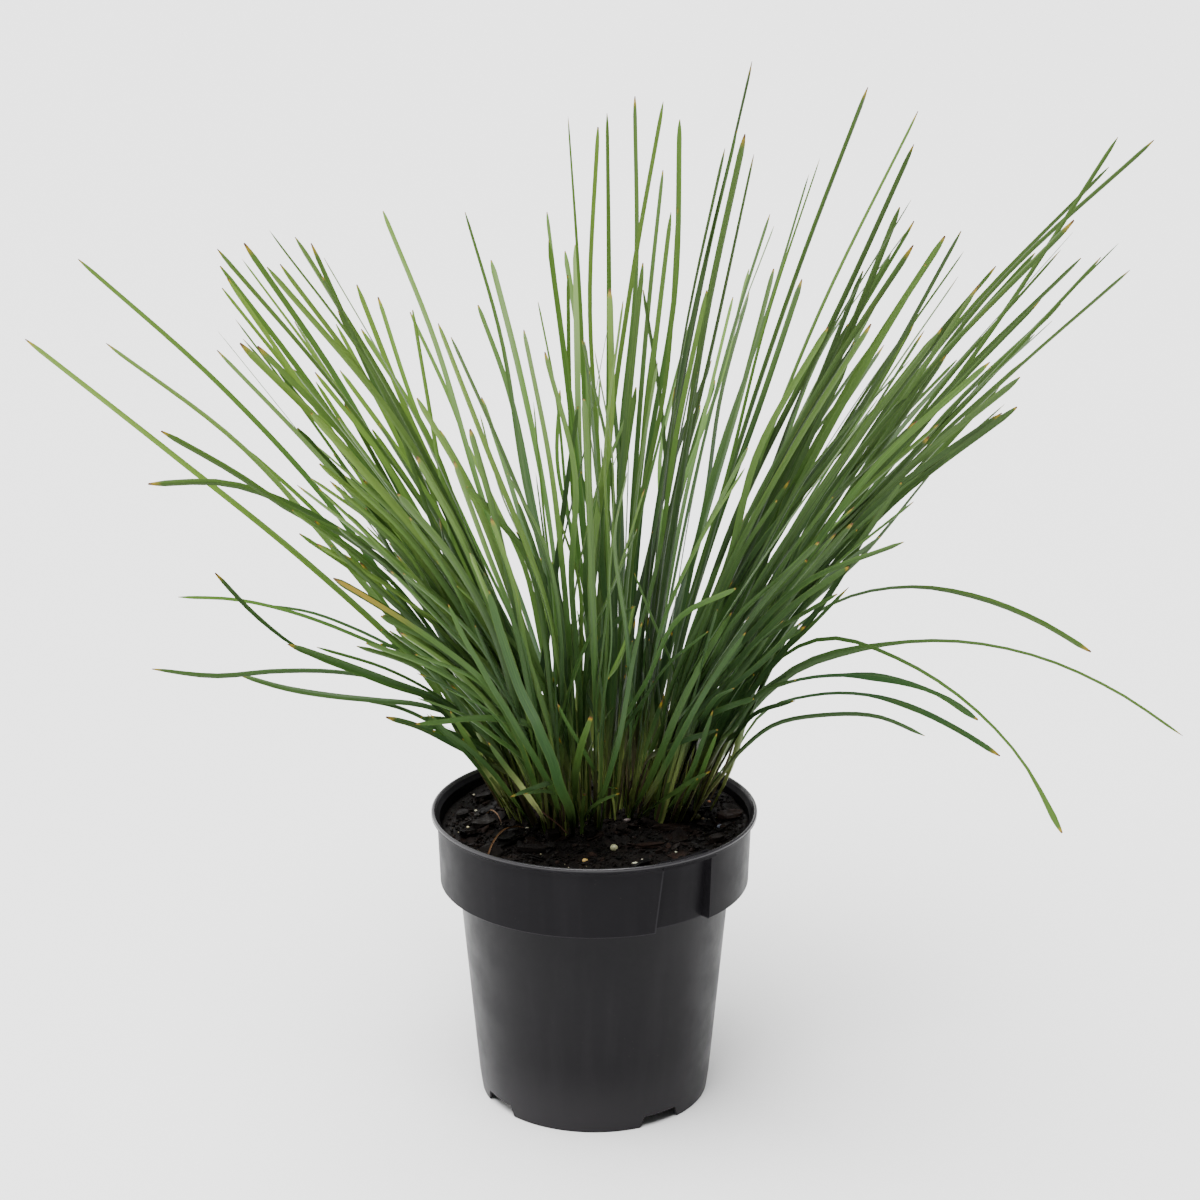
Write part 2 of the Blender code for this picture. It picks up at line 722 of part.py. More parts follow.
def closest_points(a, b, c, d):
    """Shares along segments a-b and c-d where each pair comes closest, and the gap vector between them."""
    first = b - a
    second = d - c
    between = a - c
    aa = (first * first).sum(1)
    bb = (second * second).sum(1)
    ab = (first * second).sum(1)
    fa = (first * between).sum(1)
    fb = (second * between).sum(1)
    denominator = aa * bb - ab * ab
    s = np.where(denominator > 1e-12, (ab * fb - fa * bb) / np.maximum(denominator, 1e-12), 0.5)
    s = np.clip(s, 0, 1)
    t = np.clip((ab * s + fb) / bb, 0, 1)
    s = np.clip((ab * t - fa) / aa, 0, 1)
    gap = (a + first * s[:, None]) - (c + second * t[:, None])
    return s, t, gap


def part_leaves(leaves):
    """Moves ring centres until no leaf runs through another. Roots stay, and tips only move in depth."""
    owner, rung, start = [], [], []
    points = []
    for number, leaf in enumerate(leaves):
        for ring in range(len(leaf["rings"])):
            if ring < len(leaf["rings"]) - 1:
                owner.append(number)
                rung.append(ring)
                start.append(len(points))
            points.append(tuple(leaf["rings"][ring]))
    points = np.array(points)
    home = points.copy()
    owner, rung, start = np.array(owner), np.array(rung), np.array(start)
    shoot = np.array([leaves[i]["shoot"] for i in owner])
    one, two = np.triu_indices(len(owner), 1)
    sisters = shoot[one] == shoot[two]
    keep = (owner[one] != owner[two]) & ~(sisters & ((rung[one] == 0) | (rung[two] == 0)))
    one, two = one[keep], two[keep]
    ray = points - np.array(VIEW_EYE)
    ray = ray / np.linalg.norm(ray, axis=1)[:, None]
    first_ring = np.zeros(len(points), bool)
    last_ring = np.zeros(len(points), bool)
    first_ring[start[rung == 0]] = True
    ends = np.cumsum([len(leaf["rings"]) for leaf in leaves]) - 1
    last_ring[ends] = True
    bends = np.zeros(len(points), bool)
    for leaf, end in zip(leaves, ends):
        if leaf["bent"]:
            bends[end - len(leaf["rings"]) + 1 : end + 1] = True
    for turn in range(PARTING_ROUNDS):
        a, b = points[start[one]], points[start[one] + 1]
        c, d = points[start[two]], points[start[two] + 1]
        near = (np.abs((a + b - c - d) / 2) < PARTING_REACH).all(axis=1)
        first, second = one[near], two[near]
        s, t, gap = closest_points(a[near], b[near], c[near], d[near])
        apart = np.linalg.norm(gap, axis=1)
        short = apart < LEAF_ROOM
        if not short.any():
            break
        first, second, s, t, gap, apart = (
            item[short] for item in (first, second, s, t, gap, apart)
        )
        side = np.where(apart[:, None] > 1e-7, gap / np.maximum(apart, 1e-7)[:, None], (1, 0, 0))
        push = side * ((LEAF_ROOM * PARTING_MARGIN - apart) / 2)[:, None]
        move = np.zeros_like(points)
        weight = np.zeros(len(points))
        for segment, share, sign in ((first, s, 1), (second, t, -1)):
            for offset, portion in ((0, 1 - share), (1, share)):
                at = start[segment] + offset
                np.add.at(move, at, sign * push * portion[:, None])
                np.add.at(weight, at, portion)
        move = move / np.maximum(weight, 1)[:, None] * PARTING_STEP
        along = (move * ray).sum(1)[:, None] * ray
        move[last_ring | bends] = along[last_ring | bends] * TIP_STEP
        move[first_ring] = 0
        points = points + move
        if turn < HOMING_ROUNDS:
            points = points + (home - points) * HOMING_SHARE
    at = 0
    for leaf in leaves:
        count = len(leaf["rings"])
        leaf["rings"] = [Vector(point) for point in points[at : at + count]]
        at += count


# Leaf solids


def frames(rings, across, twist):
    """Each ring's width direction and thickness direction, turned by its share of the leaf's twist."""
    found = []
    for i, centre in enumerate(rings):
        before = rings[max(i - 1, 0)]
        after = rings[min(i + 1, len(rings) - 1)]
        heading = (after - before).normalized()
        width = (across - heading * across.dot(heading)).normalized()
        depth = heading.cross(width)
        share = max(0.0, (i - 1) / (len(rings) - 2))
        angle = twist * share
        found.append((width * cos(angle) + depth * sin(angle), depth * cos(angle) - width * sin(angle)))
    return found


def ring_width(i, count):
    """A leaf's share of its full width: full for most of its length, and narrowing to a blunt tip."""
    place = i / (count - 1) * (len(RING_WIDTHS) - 1)
    low = min(int(place), len(RING_WIDTHS) - 2)
    return mix(RING_WIDTHS[low], RING_WIDTHS[low + 1], place - low)


def corner_signs(face, across, outward):
    """Which side of its face each corner is on, along the width and out from the plant."""
    middle = face.calc_center_median()
    signs = []
    for corner in face.verts:
        offset = corner.co - middle
        signs.append((corner, 1 if offset.dot(across) > 0 else -1, 1 if offset.dot(outward) > 0 else -1))
    return signs


def extrude_leaf(form, face, rings, across, outward, twist, full_width):
    """Draws a leaf out of its first face, ring by ring."""
    turns = frames(rings, across, twist)
    for i in range(1, len(rings)):
        signs = corner_signs(face, across, outward) if i == 1 else None
        order = [(one, two) for _, one, two in signs] if signs else order
        made = bmesh.ops.extrude_discrete_faces(form, faces=[face])
        face = made["faces"][0]
        width, depth = turns[i]
        half = full_width * ring_width(i, len(rings)) / 2
        thick = LEAF_THICKNESS / 2 * (TIP_THICKNESS_SHARE if i == len(rings) - 1 else 1)
        for corner, (one, two) in zip(face.verts, order):
            corner.co = rings[i] + width * half * one + depth * thick * two


def settle_layers(leaves, root, outward):
    """Orders a shoot's leaves from the inside out, and keeps their first rings apart in that order."""
    leaves.sort(key=lambda leaf: (leaf["rings"][1] - root).dot(outward))
    for _ in range(LAYER_ROUNDS):
        for inner, outer in zip(leaves, leaves[1:]):
            gap = (outer["rings"][1] - inner["rings"][1]).dot(outward)
            if gap < LAYER_ROOM:
                shift = outward * (LAYER_ROOM - gap) / 2
                outer["rings"][1] = outer["rings"][1] + shift
                inner["rings"][1] = inner["rings"][1] - shift


def sheath_strip(form, middle, across, outward, width, layer, count):
    """A row of faces, one for each leaf, stacked from the inside of the shoot to its outside."""
    rows = []
    for i in range(count + 1):
        centre = middle + outward * (i - count / 2) * layer
        rows.append([form.verts.new(centre + across * width / 2 * sign) for sign in (-1, 1)])
    faces = []
    for inner, outer in zip(rows, rows[1:]):
        faces.append(form.faces.new((inner[0], inner[1], outer[1], outer[0])))
    return faces


def make_shoot(shoot, root, leaves, parts, tools, green, generator):
    stand = Vector((root.x, root.y, ground(root.x, root.y)))
    top = leaves[0]["rings"][0]
    tips = sum((leaf["rings"][-1] for leaf in leaves), Vector()) / len(leaves)
    flat = Vector((tips.x - root.x, tips.y - root.y, 0))
    outward = flat.normalized() if flat.length > PLAIN_LEAN else Vector((0, -1, 0))
    across = outward.cross(Vector((0, 0, 1))).normalized()
    settle_layers(leaves, root, outward)
    count = len(leaves)
    form = bmesh.new()
    foot = stand - Vector((0, 0, SHEATH_DEPTH))
    faces = sheath_strip(form, foot, across, outward, SHEATH_WIDTH, SHEATH_LAYER, count)
    raised = bmesh.ops.extrude_face_region(form, geom=faces)
    upper = [item for item in raised["geom"] if isinstance(item, bmesh.types.BMVert)]
    for corner in upper:
        offset = corner.co - foot
        side = offset.dot(across) / SHEATH_WIDTH * LEAF_WIDTH
        out = offset.dot(outward) / SHEATH_LAYER * STACK_LAYER
        corner.co = top + across * side + outward * out
    stack = [item for item in raised["geom"] if isinstance(item, bmesh.types.BMFace)]
    stack.sort(key=lambda face: (face.calc_center_median() - top).dot(outward))
    for face, leaf in zip(stack, leaves):
        twist = radians(generator.uniform(-LEAF_TWIST, LEAF_TWIST))
        extrude_leaf(form, face, leaf["rings"], across, outward, twist, LEAF_WIDTH)
    face_outwards(form)
    mesh = bpy.data.meshes.new(shoot.name)
    form.to_mesh(mesh)
    form.free()
    add_object(shoot.name, mesh, parts, green)
    return socket(shoot.name, foot, top, across, outward, count, tools)


def socket(name, foot, top, across, outward, count, tools):
    """A cutter for the hole in the mix that the sheath stands in."""
    form = bmesh.new()
    heading = (top - foot).normalized()
    low = foot - heading * FIT_GAP
    width = SHEATH_WIDTH + 2 * FIT_GAP
    layer = SHEATH_LAYER * count + 2 * FIT_GAP
    faces = sheath_strip(form, low, across, outward, width, layer, 1)
    raised = bmesh.ops.extrude_face_region(form, geom=faces)
    upper = [item for item in raised["geom"] if isinstance(item, bmesh.types.BMVert)]
    bmesh.ops.translate(form, verts=upper, vec=heading * (SHEATH_DEPTH + SOCKET_REACH))
    face_outwards(form)
    mesh = bpy.data.meshes.new("socket")
    form.to_mesh(mesh)
    form.free()
    return add_object(f"socket_{name}", mesh, tools)


def join_meshes(name, things, collection):
    """One object of several that stay apart."""
    form = bmesh.new()
    for thing in things:
        form.from_mesh(thing.data)
    mesh = bpy.data.meshes.new(name)
    form.to_mesh(mesh)
    form.free()
    for thing in things:
        bpy.data.objects.remove(thing, do_unlink=True)
    return add_object(name, mesh, collection)


def make_dead_leaf(name, marks, parts, straw):
    """A dry strip that rests on the mix at its ends and bows up between them."""
    rings = []
    for index, mark in enumerate(marks):
        place = seen_on_ground(*mark)
        bow = sin(pi * index / (len(marks) - 1)) * DEAD_LEAF_ARCH
        rings.append(Vector((place.x, place.y, ground(place.x, place.y) + DEAD_LEAF_LIFT + bow)))
    heading = (rings[1] - rings[0]).normalized()
    across = heading.cross(Vector((0, 0, 1))).normalized()
    depth = heading.cross(across)
    form = bmesh.new()
    faces = sheath_strip(form, rings[0], across, depth, DEAD_LEAF_WIDTH, LEAF_THICKNESS, 1)
    raised = bmesh.ops.extrude_face_region(form, geom=faces)
    end = [item for item in raised["geom"] if isinstance(item, bmesh.types.BMFace)][0]
    bmesh.ops.translate(form, verts=end.verts, vec=(rings[1] - rings[0]) / 2)
    extrude_leaf(form, end, rings, across, depth, DEAD_LEAF_TWIST, DEAD_LEAF_WIDTH)
    face_outwards(form)
    mesh = bpy.data.meshes.new(name)
    form.to_mesh(mesh)
    form.free()
    add_object(name, mesh, parts, straw)


def make_plant(heap, parts, tools):
    green = plain_material("leaf green", (0.075, 0.17, 0.035), 0.45)
    straw = plain_material("dead leaf", (0.30, 0.13, 0.045), 0.7)
    roots = crown_places()
    leaves = place_leaves(roots)
    part_leaves(leaves)
    generator = np.random.default_rng(SEED)
    sockets = []
    for number, (shoot, root) in enumerate(zip(SHOOTS, roots)):
        own = [leaf for leaf in leaves if leaf["shoot"] == number]
        sockets.append(make_shoot(shoot, root, own, parts, tools, green, generator))
    boolean(heap, join_meshes("shoot_sockets", sockets, tools), "DIFFERENCE")
    for name, marks in DEAD_LEAVES.items():
        make_dead_leaf(name, marks, parts, straw)


def main():
    clear_scene()
    parts = new_collection("potted_lomandra")
    tools = new_collection("cutters")
    make_pot(parts, tools)
    heap = make_potting_mix(parts, tools)
    make_plant(heap, parts, tools)


main()
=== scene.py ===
"""The looks of a potted lomandra: its leaves, the bark mix, the moulded pot, and a stage with soft light.

Metres, +Z up. The origin is on the pot's axis, on the surface that the pot stands on. -Y is the front.
"""

from collections import namedtuple
from math import atan2, cos, pi, radians, sin, sqrt

import bmesh
import bpy
import numpy as np
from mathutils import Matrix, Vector, noise


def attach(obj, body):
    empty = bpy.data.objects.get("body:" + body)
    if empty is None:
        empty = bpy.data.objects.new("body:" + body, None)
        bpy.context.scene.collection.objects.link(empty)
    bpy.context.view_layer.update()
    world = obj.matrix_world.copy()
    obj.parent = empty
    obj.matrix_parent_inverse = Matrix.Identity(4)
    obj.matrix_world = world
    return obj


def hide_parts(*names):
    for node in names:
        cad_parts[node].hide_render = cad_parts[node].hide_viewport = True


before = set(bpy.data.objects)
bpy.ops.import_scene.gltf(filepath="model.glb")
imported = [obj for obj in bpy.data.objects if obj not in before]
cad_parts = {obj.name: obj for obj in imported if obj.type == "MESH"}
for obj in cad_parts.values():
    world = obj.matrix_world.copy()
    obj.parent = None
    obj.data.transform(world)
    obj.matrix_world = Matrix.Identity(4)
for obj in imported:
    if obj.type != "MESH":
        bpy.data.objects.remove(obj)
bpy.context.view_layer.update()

MM = 0.001

# The pot
POT_HEIGHT = 185 * MM
RIM_RADIUS = 100 * MM
LIP_HEIGHT = 3.2 * MM
LIP_PROUD = 3.5 * MM
COLLAR_BOTTOM_RADIUS = 95.1 * MM
COLLAR_BOTTOM = 139.3 * MM
BODY_TOP_RADIUS = 83.7 * MM
FOOT_RADIUS = 71.4 * MM
FOOT_CHAMFER = 12 * MM
FOOT_CHAMFER_DEPTH = 0.5 * MM
WALL = 1.5 * MM
FLOOR_UNDERSIDE = 8 * MM
POT_STEPS = 144
EDGE_ROUNDING = 0.45 * MM
ROUNDED_FROM = radians(50)
POT_SHARP_FROM = radians(32)
# Lighter lines on the recess's left side and the collar's lower edge, and a lighter lip: partly wear, partly
# painted highlight
EDGE_LINE_BEARING = 0.5
EDGE_LINE_HEIGHT = 0.9 * MM
WORN_AND_HIGHLIGHT_COLOUR = (0.034, 0.032, 0.036)
DUST_COLOUR = (0.035, 0.031, 0.028)
# A lighter tone towards the foot
LIGHTER_FOOT_COLOUR = (0.0250, 0.0235, 0.0255)

# The label recess and its slot, as bearings to the right of the front
RECESS_FROM = 25.2
RECESS_TO = 46.0
RECESS_LEAN = 2.8
RECESS_TOP = 180 * MM
PANEL_TOP_RADIUS = 92.4 * MM
PANEL_BOTTOM_RADIUS = 88.9 * MM
SLOT_OUTER_RADIUS = 97.2 * MM
BAND_OUTER_RADIUS = 98.6 * MM
POCKET_TOP = 182.5 * MM
BAND_OVERLAP = 1 * MM
BAND_SIDE_OVERLAP = 1
SECTOR_STEPS = 12
CUT_PAST = 2 * MM

# The notches in the foot and the drain holes
NOTCH_BEARING = 34.5
NOTCH_COUNT = 4
NOTCH_WIDTH_BELOW = 24.6
NOTCH_WIDTH_ABOVE = 18.2
NOTCH_HEIGHT = 7.5 * MM
NOTCH_OUTER_RADIUS = 79 * MM
NOTCH_INNER_RADIUS = 65 * MM
DRAIN_COUNT = 8
DRAIN_RADIUS = 4.5 * MM
DRAIN_RING_RADIUS = 48 * MM
DRAIN_SIDES = 32

# The potting mix, with low humps and a rise to the back right
SOIL_LEVEL = 174 * MM
HUMP_HEIGHT = 1.2 * MM
HUMP_LENGTHS = (13 * MM, 11 * MM)
HUMP_PHASES = (0.6, 0.4)
RIPPLE_HEIGHT = 0.8 * MM
RIPPLE_LENGTHS = (7 * MM, 9 * MM)
RISE = 2.4 * MM
RISE_LENGTH = 140 * MM
FIT_GAP = 0.35 * MM
POCKET_MARGIN = 2

# The mix's mesh, its lumps and fine crumbs, and how its tones change over it
MIX_RINGS = 62
MIX_SPOKES = 180
LUMP_LENGTH = 5 * MM
LUMP_HEIGHT = 1.1 * MM
CRUMB_LENGTH = 1.6 * MM
CRUMB_HEIGHT = 0.6 * MM
TONE_LENGTH = 9 * MM
WARMTH_LENGTH = 14 * MM
WARMTH_FROM = 0.3

# Bark chips on the mix. A beta distribution gives each its lightness, and another its warmth.
CHIP_COUNT = 340
LIGHTNESS = (1.2, 3)
CHIP_WARMTH = (1, 6)
CHIP_REACH = 84 * MM
CHIP_CROWN_MARGIN = -14 * MM
CHIP_LENGTH = (3 * MM, 10 * MM)
CHIP_STRETCH = (0.8, 1.7)
CHIP_WIDTH_SHARE = (0.3, 0.8)
CHIP_THICKNESS = (0.8 * MM, 3.0 * MM)
CHIP_LIFT = (-0.2 * MM, 1.3 * MM)
CHIP_TILT = 0.42
CHIP_JITTER = 0.13
SLAB_SIDES = 9
SLAB_LAYERS = 3
SLAB_JITTER = 0.09
GRAIN_SUBDIVISIONS = 2
GRAIN_JITTER = 0.03

# Crumbs on the mix, some of them small pale specks
CRUMB_COUNT = 3800
CRUMB_WARMTH = (1, 7)
CRUMB_REACH = 92 * MM
CRUMB_WALL_MARGIN = 1.5 * MM
CRUMB_SIZE = (0.5 * MM, 2.6 * MM)
CRUMB_STRETCH = (0.6, 1.3)
CRUMB_RAISED = 0.3
CRUMB_SUBDIVISIONS = 1
CRUMB_JITTER = 0.16
SPECK_SHARE = 0.035
SPECK_SIZE = 0.42
SPECK_PALENESS = (0.35, 1.0)

# The crown, the patch of ground that the shoots grow from
CROWN_CENTRE = Vector((9 * MM, 26 * MM, 0))
CROWN_ACROSS = 65 * MM
CROWN_DEEP = 41 * MM
SHOOT_SPACING = 11 * MM
CROWN_EDGE_LEAN = radians(48)
SPREADING_ROUNDS = 500
SPREADING_EASE = 0.3
MARKED_EASE = 0.06

# A shoot: a flattened sheath out of the mix, with its leaves in a stack at the top
SHEATH_HEIGHT = 34 * MM
STUB_SHEATH_HEIGHT = 10 * MM
SHEATH_UPRIGHTNESS = 1.2
TIP_STAGGER = 9 * MM
RING_PLACES = (0.0, 0.2, 0.45, 0.72, 1.0)
BOW_UPRIGHT = 0.02
BOW_LEVEL = 0.13
BOW_PLACES = (0.33, 0.67)
BOW_FAR_SHARE = 0.9
UPRIGHT_LIMIT = 0.01
BEND_EASE = 0.8
PLAIN_LEAN = 5 * MM

# How the leaves part around one another
LEAF_ROOM = 5.6 * MM
LAYER_ROOM = 2.2 * MM
LAYER_ROUNDS = 30
PARTING_ROUNDS = 180
PARTING_REACH = 160 * MM
PARTING_STEP = 1.3
PARTING_MARGIN = 1.04
TIP_STEP = 1.5
HOMING_ROUNDS = 108
HOMING_SHARE = 0.02

# How the plant shows from the front: a square view, 1200 units wide, from standing height
VIEW_EYE = Vector((3.5 * MM, -1460 * MM, 758 * MM))
VIEW_TILT = radians(16.8)
VIEW_FOCAL = 2546
VIEW_SIZE = 1200
VIEW_CENTRE = VIEW_SIZE / 2
SENSOR = 36

# The light from above, a little from the left and the front
SUN_FROM = Vector((-0.12, -0.24, 1))
SUN_ANGLE = radians(48)
SUN_STRENGTH = 8.5

# The light all round, by the direction that it comes from: from one share of the axis to another, and from
# one strength to another
LIGHT_ALONG_Y = (-0.85, 0.15, 0.15, 1.7)
LIGHT_ALONG_X = (0.9, -0.9, 0.16, 1.5)

FLOOR_REACH = 20
FLOOR_COLOUR = (0.86, 0.86, 0.86, 1)
FLOOR_ROUGHNESS = 0.8

# Leaves of one shoot are listed by where their tips show in the front view, (across, down).
# A leaf with its own bends has a chain of such points, from its tip inwards.
# behind is how far behind the pot's axis the tips lie, in metres.
Shoot = namedtuple("Shoot", "name behind leaves")

SHOOTS = (
    Shoot("shoot_01", 0.03, ((25, 339), (106, 343), (78, 259))),
    Shoot("shoot_02", 0.07, ((220, 266), (222, 288), (242, 259), (244, 243))),
    Shoot("shoot_03", -0.15, ((267, 267), (280, 264), (295, 237))),
    Shoot("shoot_04", 0.11, ((311, 243), (315, 252), (255, 328))),
    Shoot("shoot_05", -0.13, ((240, 343), (243, 339), (217, 350))),
    Shoot("shoot_06", -0.07, (
        ((161, 431), (232, 471), (298, 514), (365, 542), (431, 576), (475, 640)),
        ((148, 484), (206, 482), (252, 488), (298, 508), (345, 534), (430, 612)),
    )),
    Shoot("shoot_07", 0.09, (
        ((178, 597), (239, 600), (292, 612), (365, 640), (431, 678)),
        ((265, 605), (318, 614), (358, 630), (398, 650), (445, 682)),
    )),
    Shoot("shoot_08", -0.12, (
        ((215, 573), (252, 612), (292, 645), (351, 672), (418, 693)),
        ((287, 644), (330, 660), (385, 681), (448, 707)),
    )),
    Shoot("shoot_09", 0.02, (
        ((152, 669), (207, 676), (282, 671), (352, 674), (428, 697)),
        ((237, 674), (298, 691), (365, 699), (431, 707), (470, 726)),
    )),
    Shoot("shoot_10", -0.08, (((386, 717), (415, 725), (450, 742)), (418, 724))),
    Shoot("shoot_11", -0.21, ((311, 413), (338, 418), (317, 446))),
    Shoot("shoot_12", -0.21, ((345, 476), (297, 485), (318, 488))),
    Shoot("shoot_13", -0.17, ((292, 510), (348, 514), (338, 527))),
    Shoot("shoot_14", -0.14, (((333, 578), (371, 600), (424, 634), (474, 672)), (381, 616))),
    Shoot("shoot_15", -0.17, ((403, 573), (366, 643))),
    Shoot("shoot_16", 0.26, ((378, 297), (410, 312), (383, 211))),
    Shoot("shoot_17", -0.25, ((438, 323), (451, 337), (417, 398))),
    Shoot("shoot_18", -0.25, ((417, 457), (454, 461), (470, 429), (398, 494))),
    Shoot("shoot_19", -0.20, (((466, 487), (481, 501), (514, 540), (540, 600)), (491, 518))),
    Shoot("shoot_20", 0.285, ((465, 212), (491, 260), (478, 305))),
    Shoot("shoot_21", 0.285, ((547, 212), (565, 251), (538, 302))),
    Shoot("shoot_22", -0.27, ((524, 330), (545, 352))),
    Shoot("shoot_23", 0.1, ((568, 116), (598, 127), (607, 113))),
    Shoot("shoot_24", -0.27, ((610, 289), (623, 301), (584, 399))),
    Shoot("shoot_25", 0.15, ((635, 96), (663, 170))),
    Shoot("shoot_26", -0.1, ((671, 212), (678, 207))),
    Shoot("shoot_27", -0.05, ((725, 148), (745, 134), (742, 156), (754, 154))),
    Shoot("shoot_28", 0.03, ((752, 61),)),
    Shoot("shoot_29", 0.275, ((770, 214), (774, 226), (749, 269), (749, 292), (733, 297))),
    Shoot("shoot_30", 0.2, ((809, 174), (802, 279))),
    Shoot("shoot_31", 0.11, ((868, 87), (820, 158))),
    Shoot("shoot_32", -0.29, ((748, 448), (745, 468))),
    Shoot("shoot_33", -0.06, ((918, 111), (914, 144), (911, 200))),
    Shoot("shoot_34", 0.22, ((914, 221), (905, 233), (891, 253))),
    Shoot("shoot_35", -0.13, ((926, 264), (945, 236), (961, 231), (964, 251))),
    Shoot("shoot_36", 0.20, ((983, 295), (996, 266), (1035, 253))),
    Shoot("shoot_37", -0.12, ((1074, 220), (1081, 258), (1101, 257))),
    Shoot("shoot_38", 0.05, ((1118, 137), (1109, 167), (1154, 140))),
    Shoot("shoot_39", -0.12, ((1130, 270), (1052, 321))),
    Shoot("shoot_40", -0.19, ((990, 362), (1020, 377), (1017, 407), (1002, 413))),
    Shoot("shoot_41", -0.16, ((942, 328), (937, 334), (911, 359))),
    Shoot("shoot_42", -0.20, ((877, 400), (871, 324), (828, 327))),
    Shoot("shoot_43", 0.26, ((914, 323), (890, 321))),
    Shoot("shoot_44", -0.17, ((904, 542), (849, 567))),
    Shoot("shoot_45", -0.12, ((784, 620), (734, 688), (754, 699))),
    Shoot("shoot_46", 0.08, (
        ((1091, 652), (1020, 612), (946, 590), (885, 589), (820, 610), (760, 668)),
    )),
    Shoot("shoot_47", -0.08, (
        ((1183, 736), (1087, 675), (1002, 648), (931, 641), (842, 653), (760, 692)),
    )),
    Shoot("shoot_48", -0.16, (
        ((1062, 833), (1026, 766), (974, 708), (910, 665), (852, 642), (786, 650)),
    )),
    Shoot("shoot_49", 0.10, (
        ((978, 720), (931, 691), (873, 677), (806, 678), (745, 704)),
        ((1000, 756), (940, 720), (879, 697), (821, 694), (763, 712)),
    )),
    Shoot("shoot_50", -0.10, (((925, 736), (888, 719), (839, 714), (769, 727)),)),
    Shoot("shoot_51", 0.26, ((440, 430), (480, 415), (465, 440))),
    Shoot("shoot_52", 0.285, ((560, 390), (600, 375), (585, 420))),
    Shoot("shoot_53", 0.29, ((680, 370), (715, 380), (700, 405))),
    Shoot("shoot_54", 0.25, ((800, 390), (835, 405), (815, 430))),
    Shoot("leaf_stub", -0.03, ((585, 794),)),
)

# Where shoots at the crown's front edge come out of the ground, in the front view
ROOT_MARKS = {
    "shoot_09": (512, 806),
    "shoot_13": (528, 815),
    "shoot_12": (540, 824),
    "shoot_18": (552, 831),
    "shoot_19": (566, 836),
    "leaf_stub": (578, 834),
    "shoot_24": (592, 830),
    "shoot_27": (634, 806),
    "shoot_22": (582, 822),
    "shoot_26": (608, 822),
    "shoot_32": (630, 818),
    "shoot_42": (646, 817),
    "shoot_44": (664, 815),
    "shoot_45": (684, 811),
    "shoot_48": (702, 806),
}

# Dead leaves on the mix, by the marks that they pass through in the front view
DEAD_LEAVES = {
    "dead_leaf_long": ((487, 857), (493, 847), (502, 839), (513, 833), (525, 829)),
    "dead_leaf_short": ((486, 817), (491, 818), (497, 821), (502, 825)),
}
DEAD_LEAF_LIFT = 1.7 * MM
DEAD_LEAF_ARCH = 4 * MM
DEAD_LEAF_WIDTH = 3.0 * MM
DEAD_LEAF_LOOK = (0.35, 0.1, 0.5, 0.3)

# How wide a bent leaf shows along its way from foot to tip, as (share of the way, share of its width).
# Leaves are keyed by shoot and by their place in its list.
BENT_SHOWS = {
    ("shoot_07", 0): ((0, 1), (0.4, 0.5), (1, 0.6)),
    ("shoot_07", 1): ((0, 1), (0.4, 0.45), (1, 0.5)),
    ("shoot_08", 0): ((0, 0.8), (0.5, 0.5), (0.72, 0.4), (0.86, 0.75), (1, 0.8)),
    ("shoot_08", 1): ((0, 0.8), (0.5, 0.9), (0.68, 1.35), (0.85, 1.25), (1, 0.9)),
    ("shoot_09", 0): ((0, 0.8), (0.4, 0.5), (0.7, 0.75), (0.88, 0.9), (1, 0.6)),
    ("shoot_09", 1): ((0, 0.8), (0.5, 0.8), (0.8, 1), (1, 0.8)),
    ("shoot_46", 0): ((0, 0.8), (0.3, 0.55), (0.42, 0.45), (0.6, 0.55), (0.75, 1.05), (1, 1.1)),
    ("shoot_47", 0): ((0, 0.9), (0.2, 1.1), (0.42, 1.3), (0.52, 0.55), (0.7, 0.45), (1, 0.5)),
    ("shoot_48", 0): ((0, 0.8), (0.35, 0.5), (0.5, 0.6), (0.7, 0.5), (0.88, 0.42), (0.94, 0.8), (1, 1.3)),
    ("shoot_49", 0): ((0, 0.7), (0.4, 0.45), (0.58, 0.6), (0.67, 1.5), (0.84, 0.7), (0.92, 1.3), (1, 1.2)),
    ("shoot_49", 1): ((0, 0.7), (0.4, 0.45), (0.58, 0.55), (0.68, 1.05), (1, 1.1)),
    ("shoot_50", 0): ((0, 0.8), (0.3, 0.6), (1, 0.7)),
}
EVEN_SHOW = ((0, 1), (1, 1))

# Gaps between the shoots where the background shows in the front view: each is a line between two marks,
# with how far it reaches to its sides. The shorter leaves keep out of them.
GAPS = (
    ((478, 455), (522, 625), 12),
    ((508, 370), (518, 440), 12),
    ((545, 455), (553, 497), 6),
    ((578, 525), (572, 612), 4),
    ((644, 514), (638, 563), 4),
    ((716, 415), (668, 600), 10),
    ((752, 470), (690, 610), 12),
    ((800, 290), (756, 470), 14),
    ((812, 210), (815, 300), 14),
    ((764, 552), (743, 598), 5),
    ((705, 220), (690, 290), 6),
    ((630, 180), (618, 260), 6),
    ((588, 160), (590, 330), 6),
    ((440, 300), (462, 420), 8),
    ((90, 420), (250, 500), 8),
    ((80, 607), (170, 614), 9),
    ((170, 640), (250, 645), 8),
    ((240, 520), (345, 605), 14),
    ((1040, 400), (960, 470), 12),
    ((960, 470), (850, 610), 14),
)
GAP_TRIES = 8
GAP_SAMPLES = 24
GAP_SAMPLES_FROM = 0.1

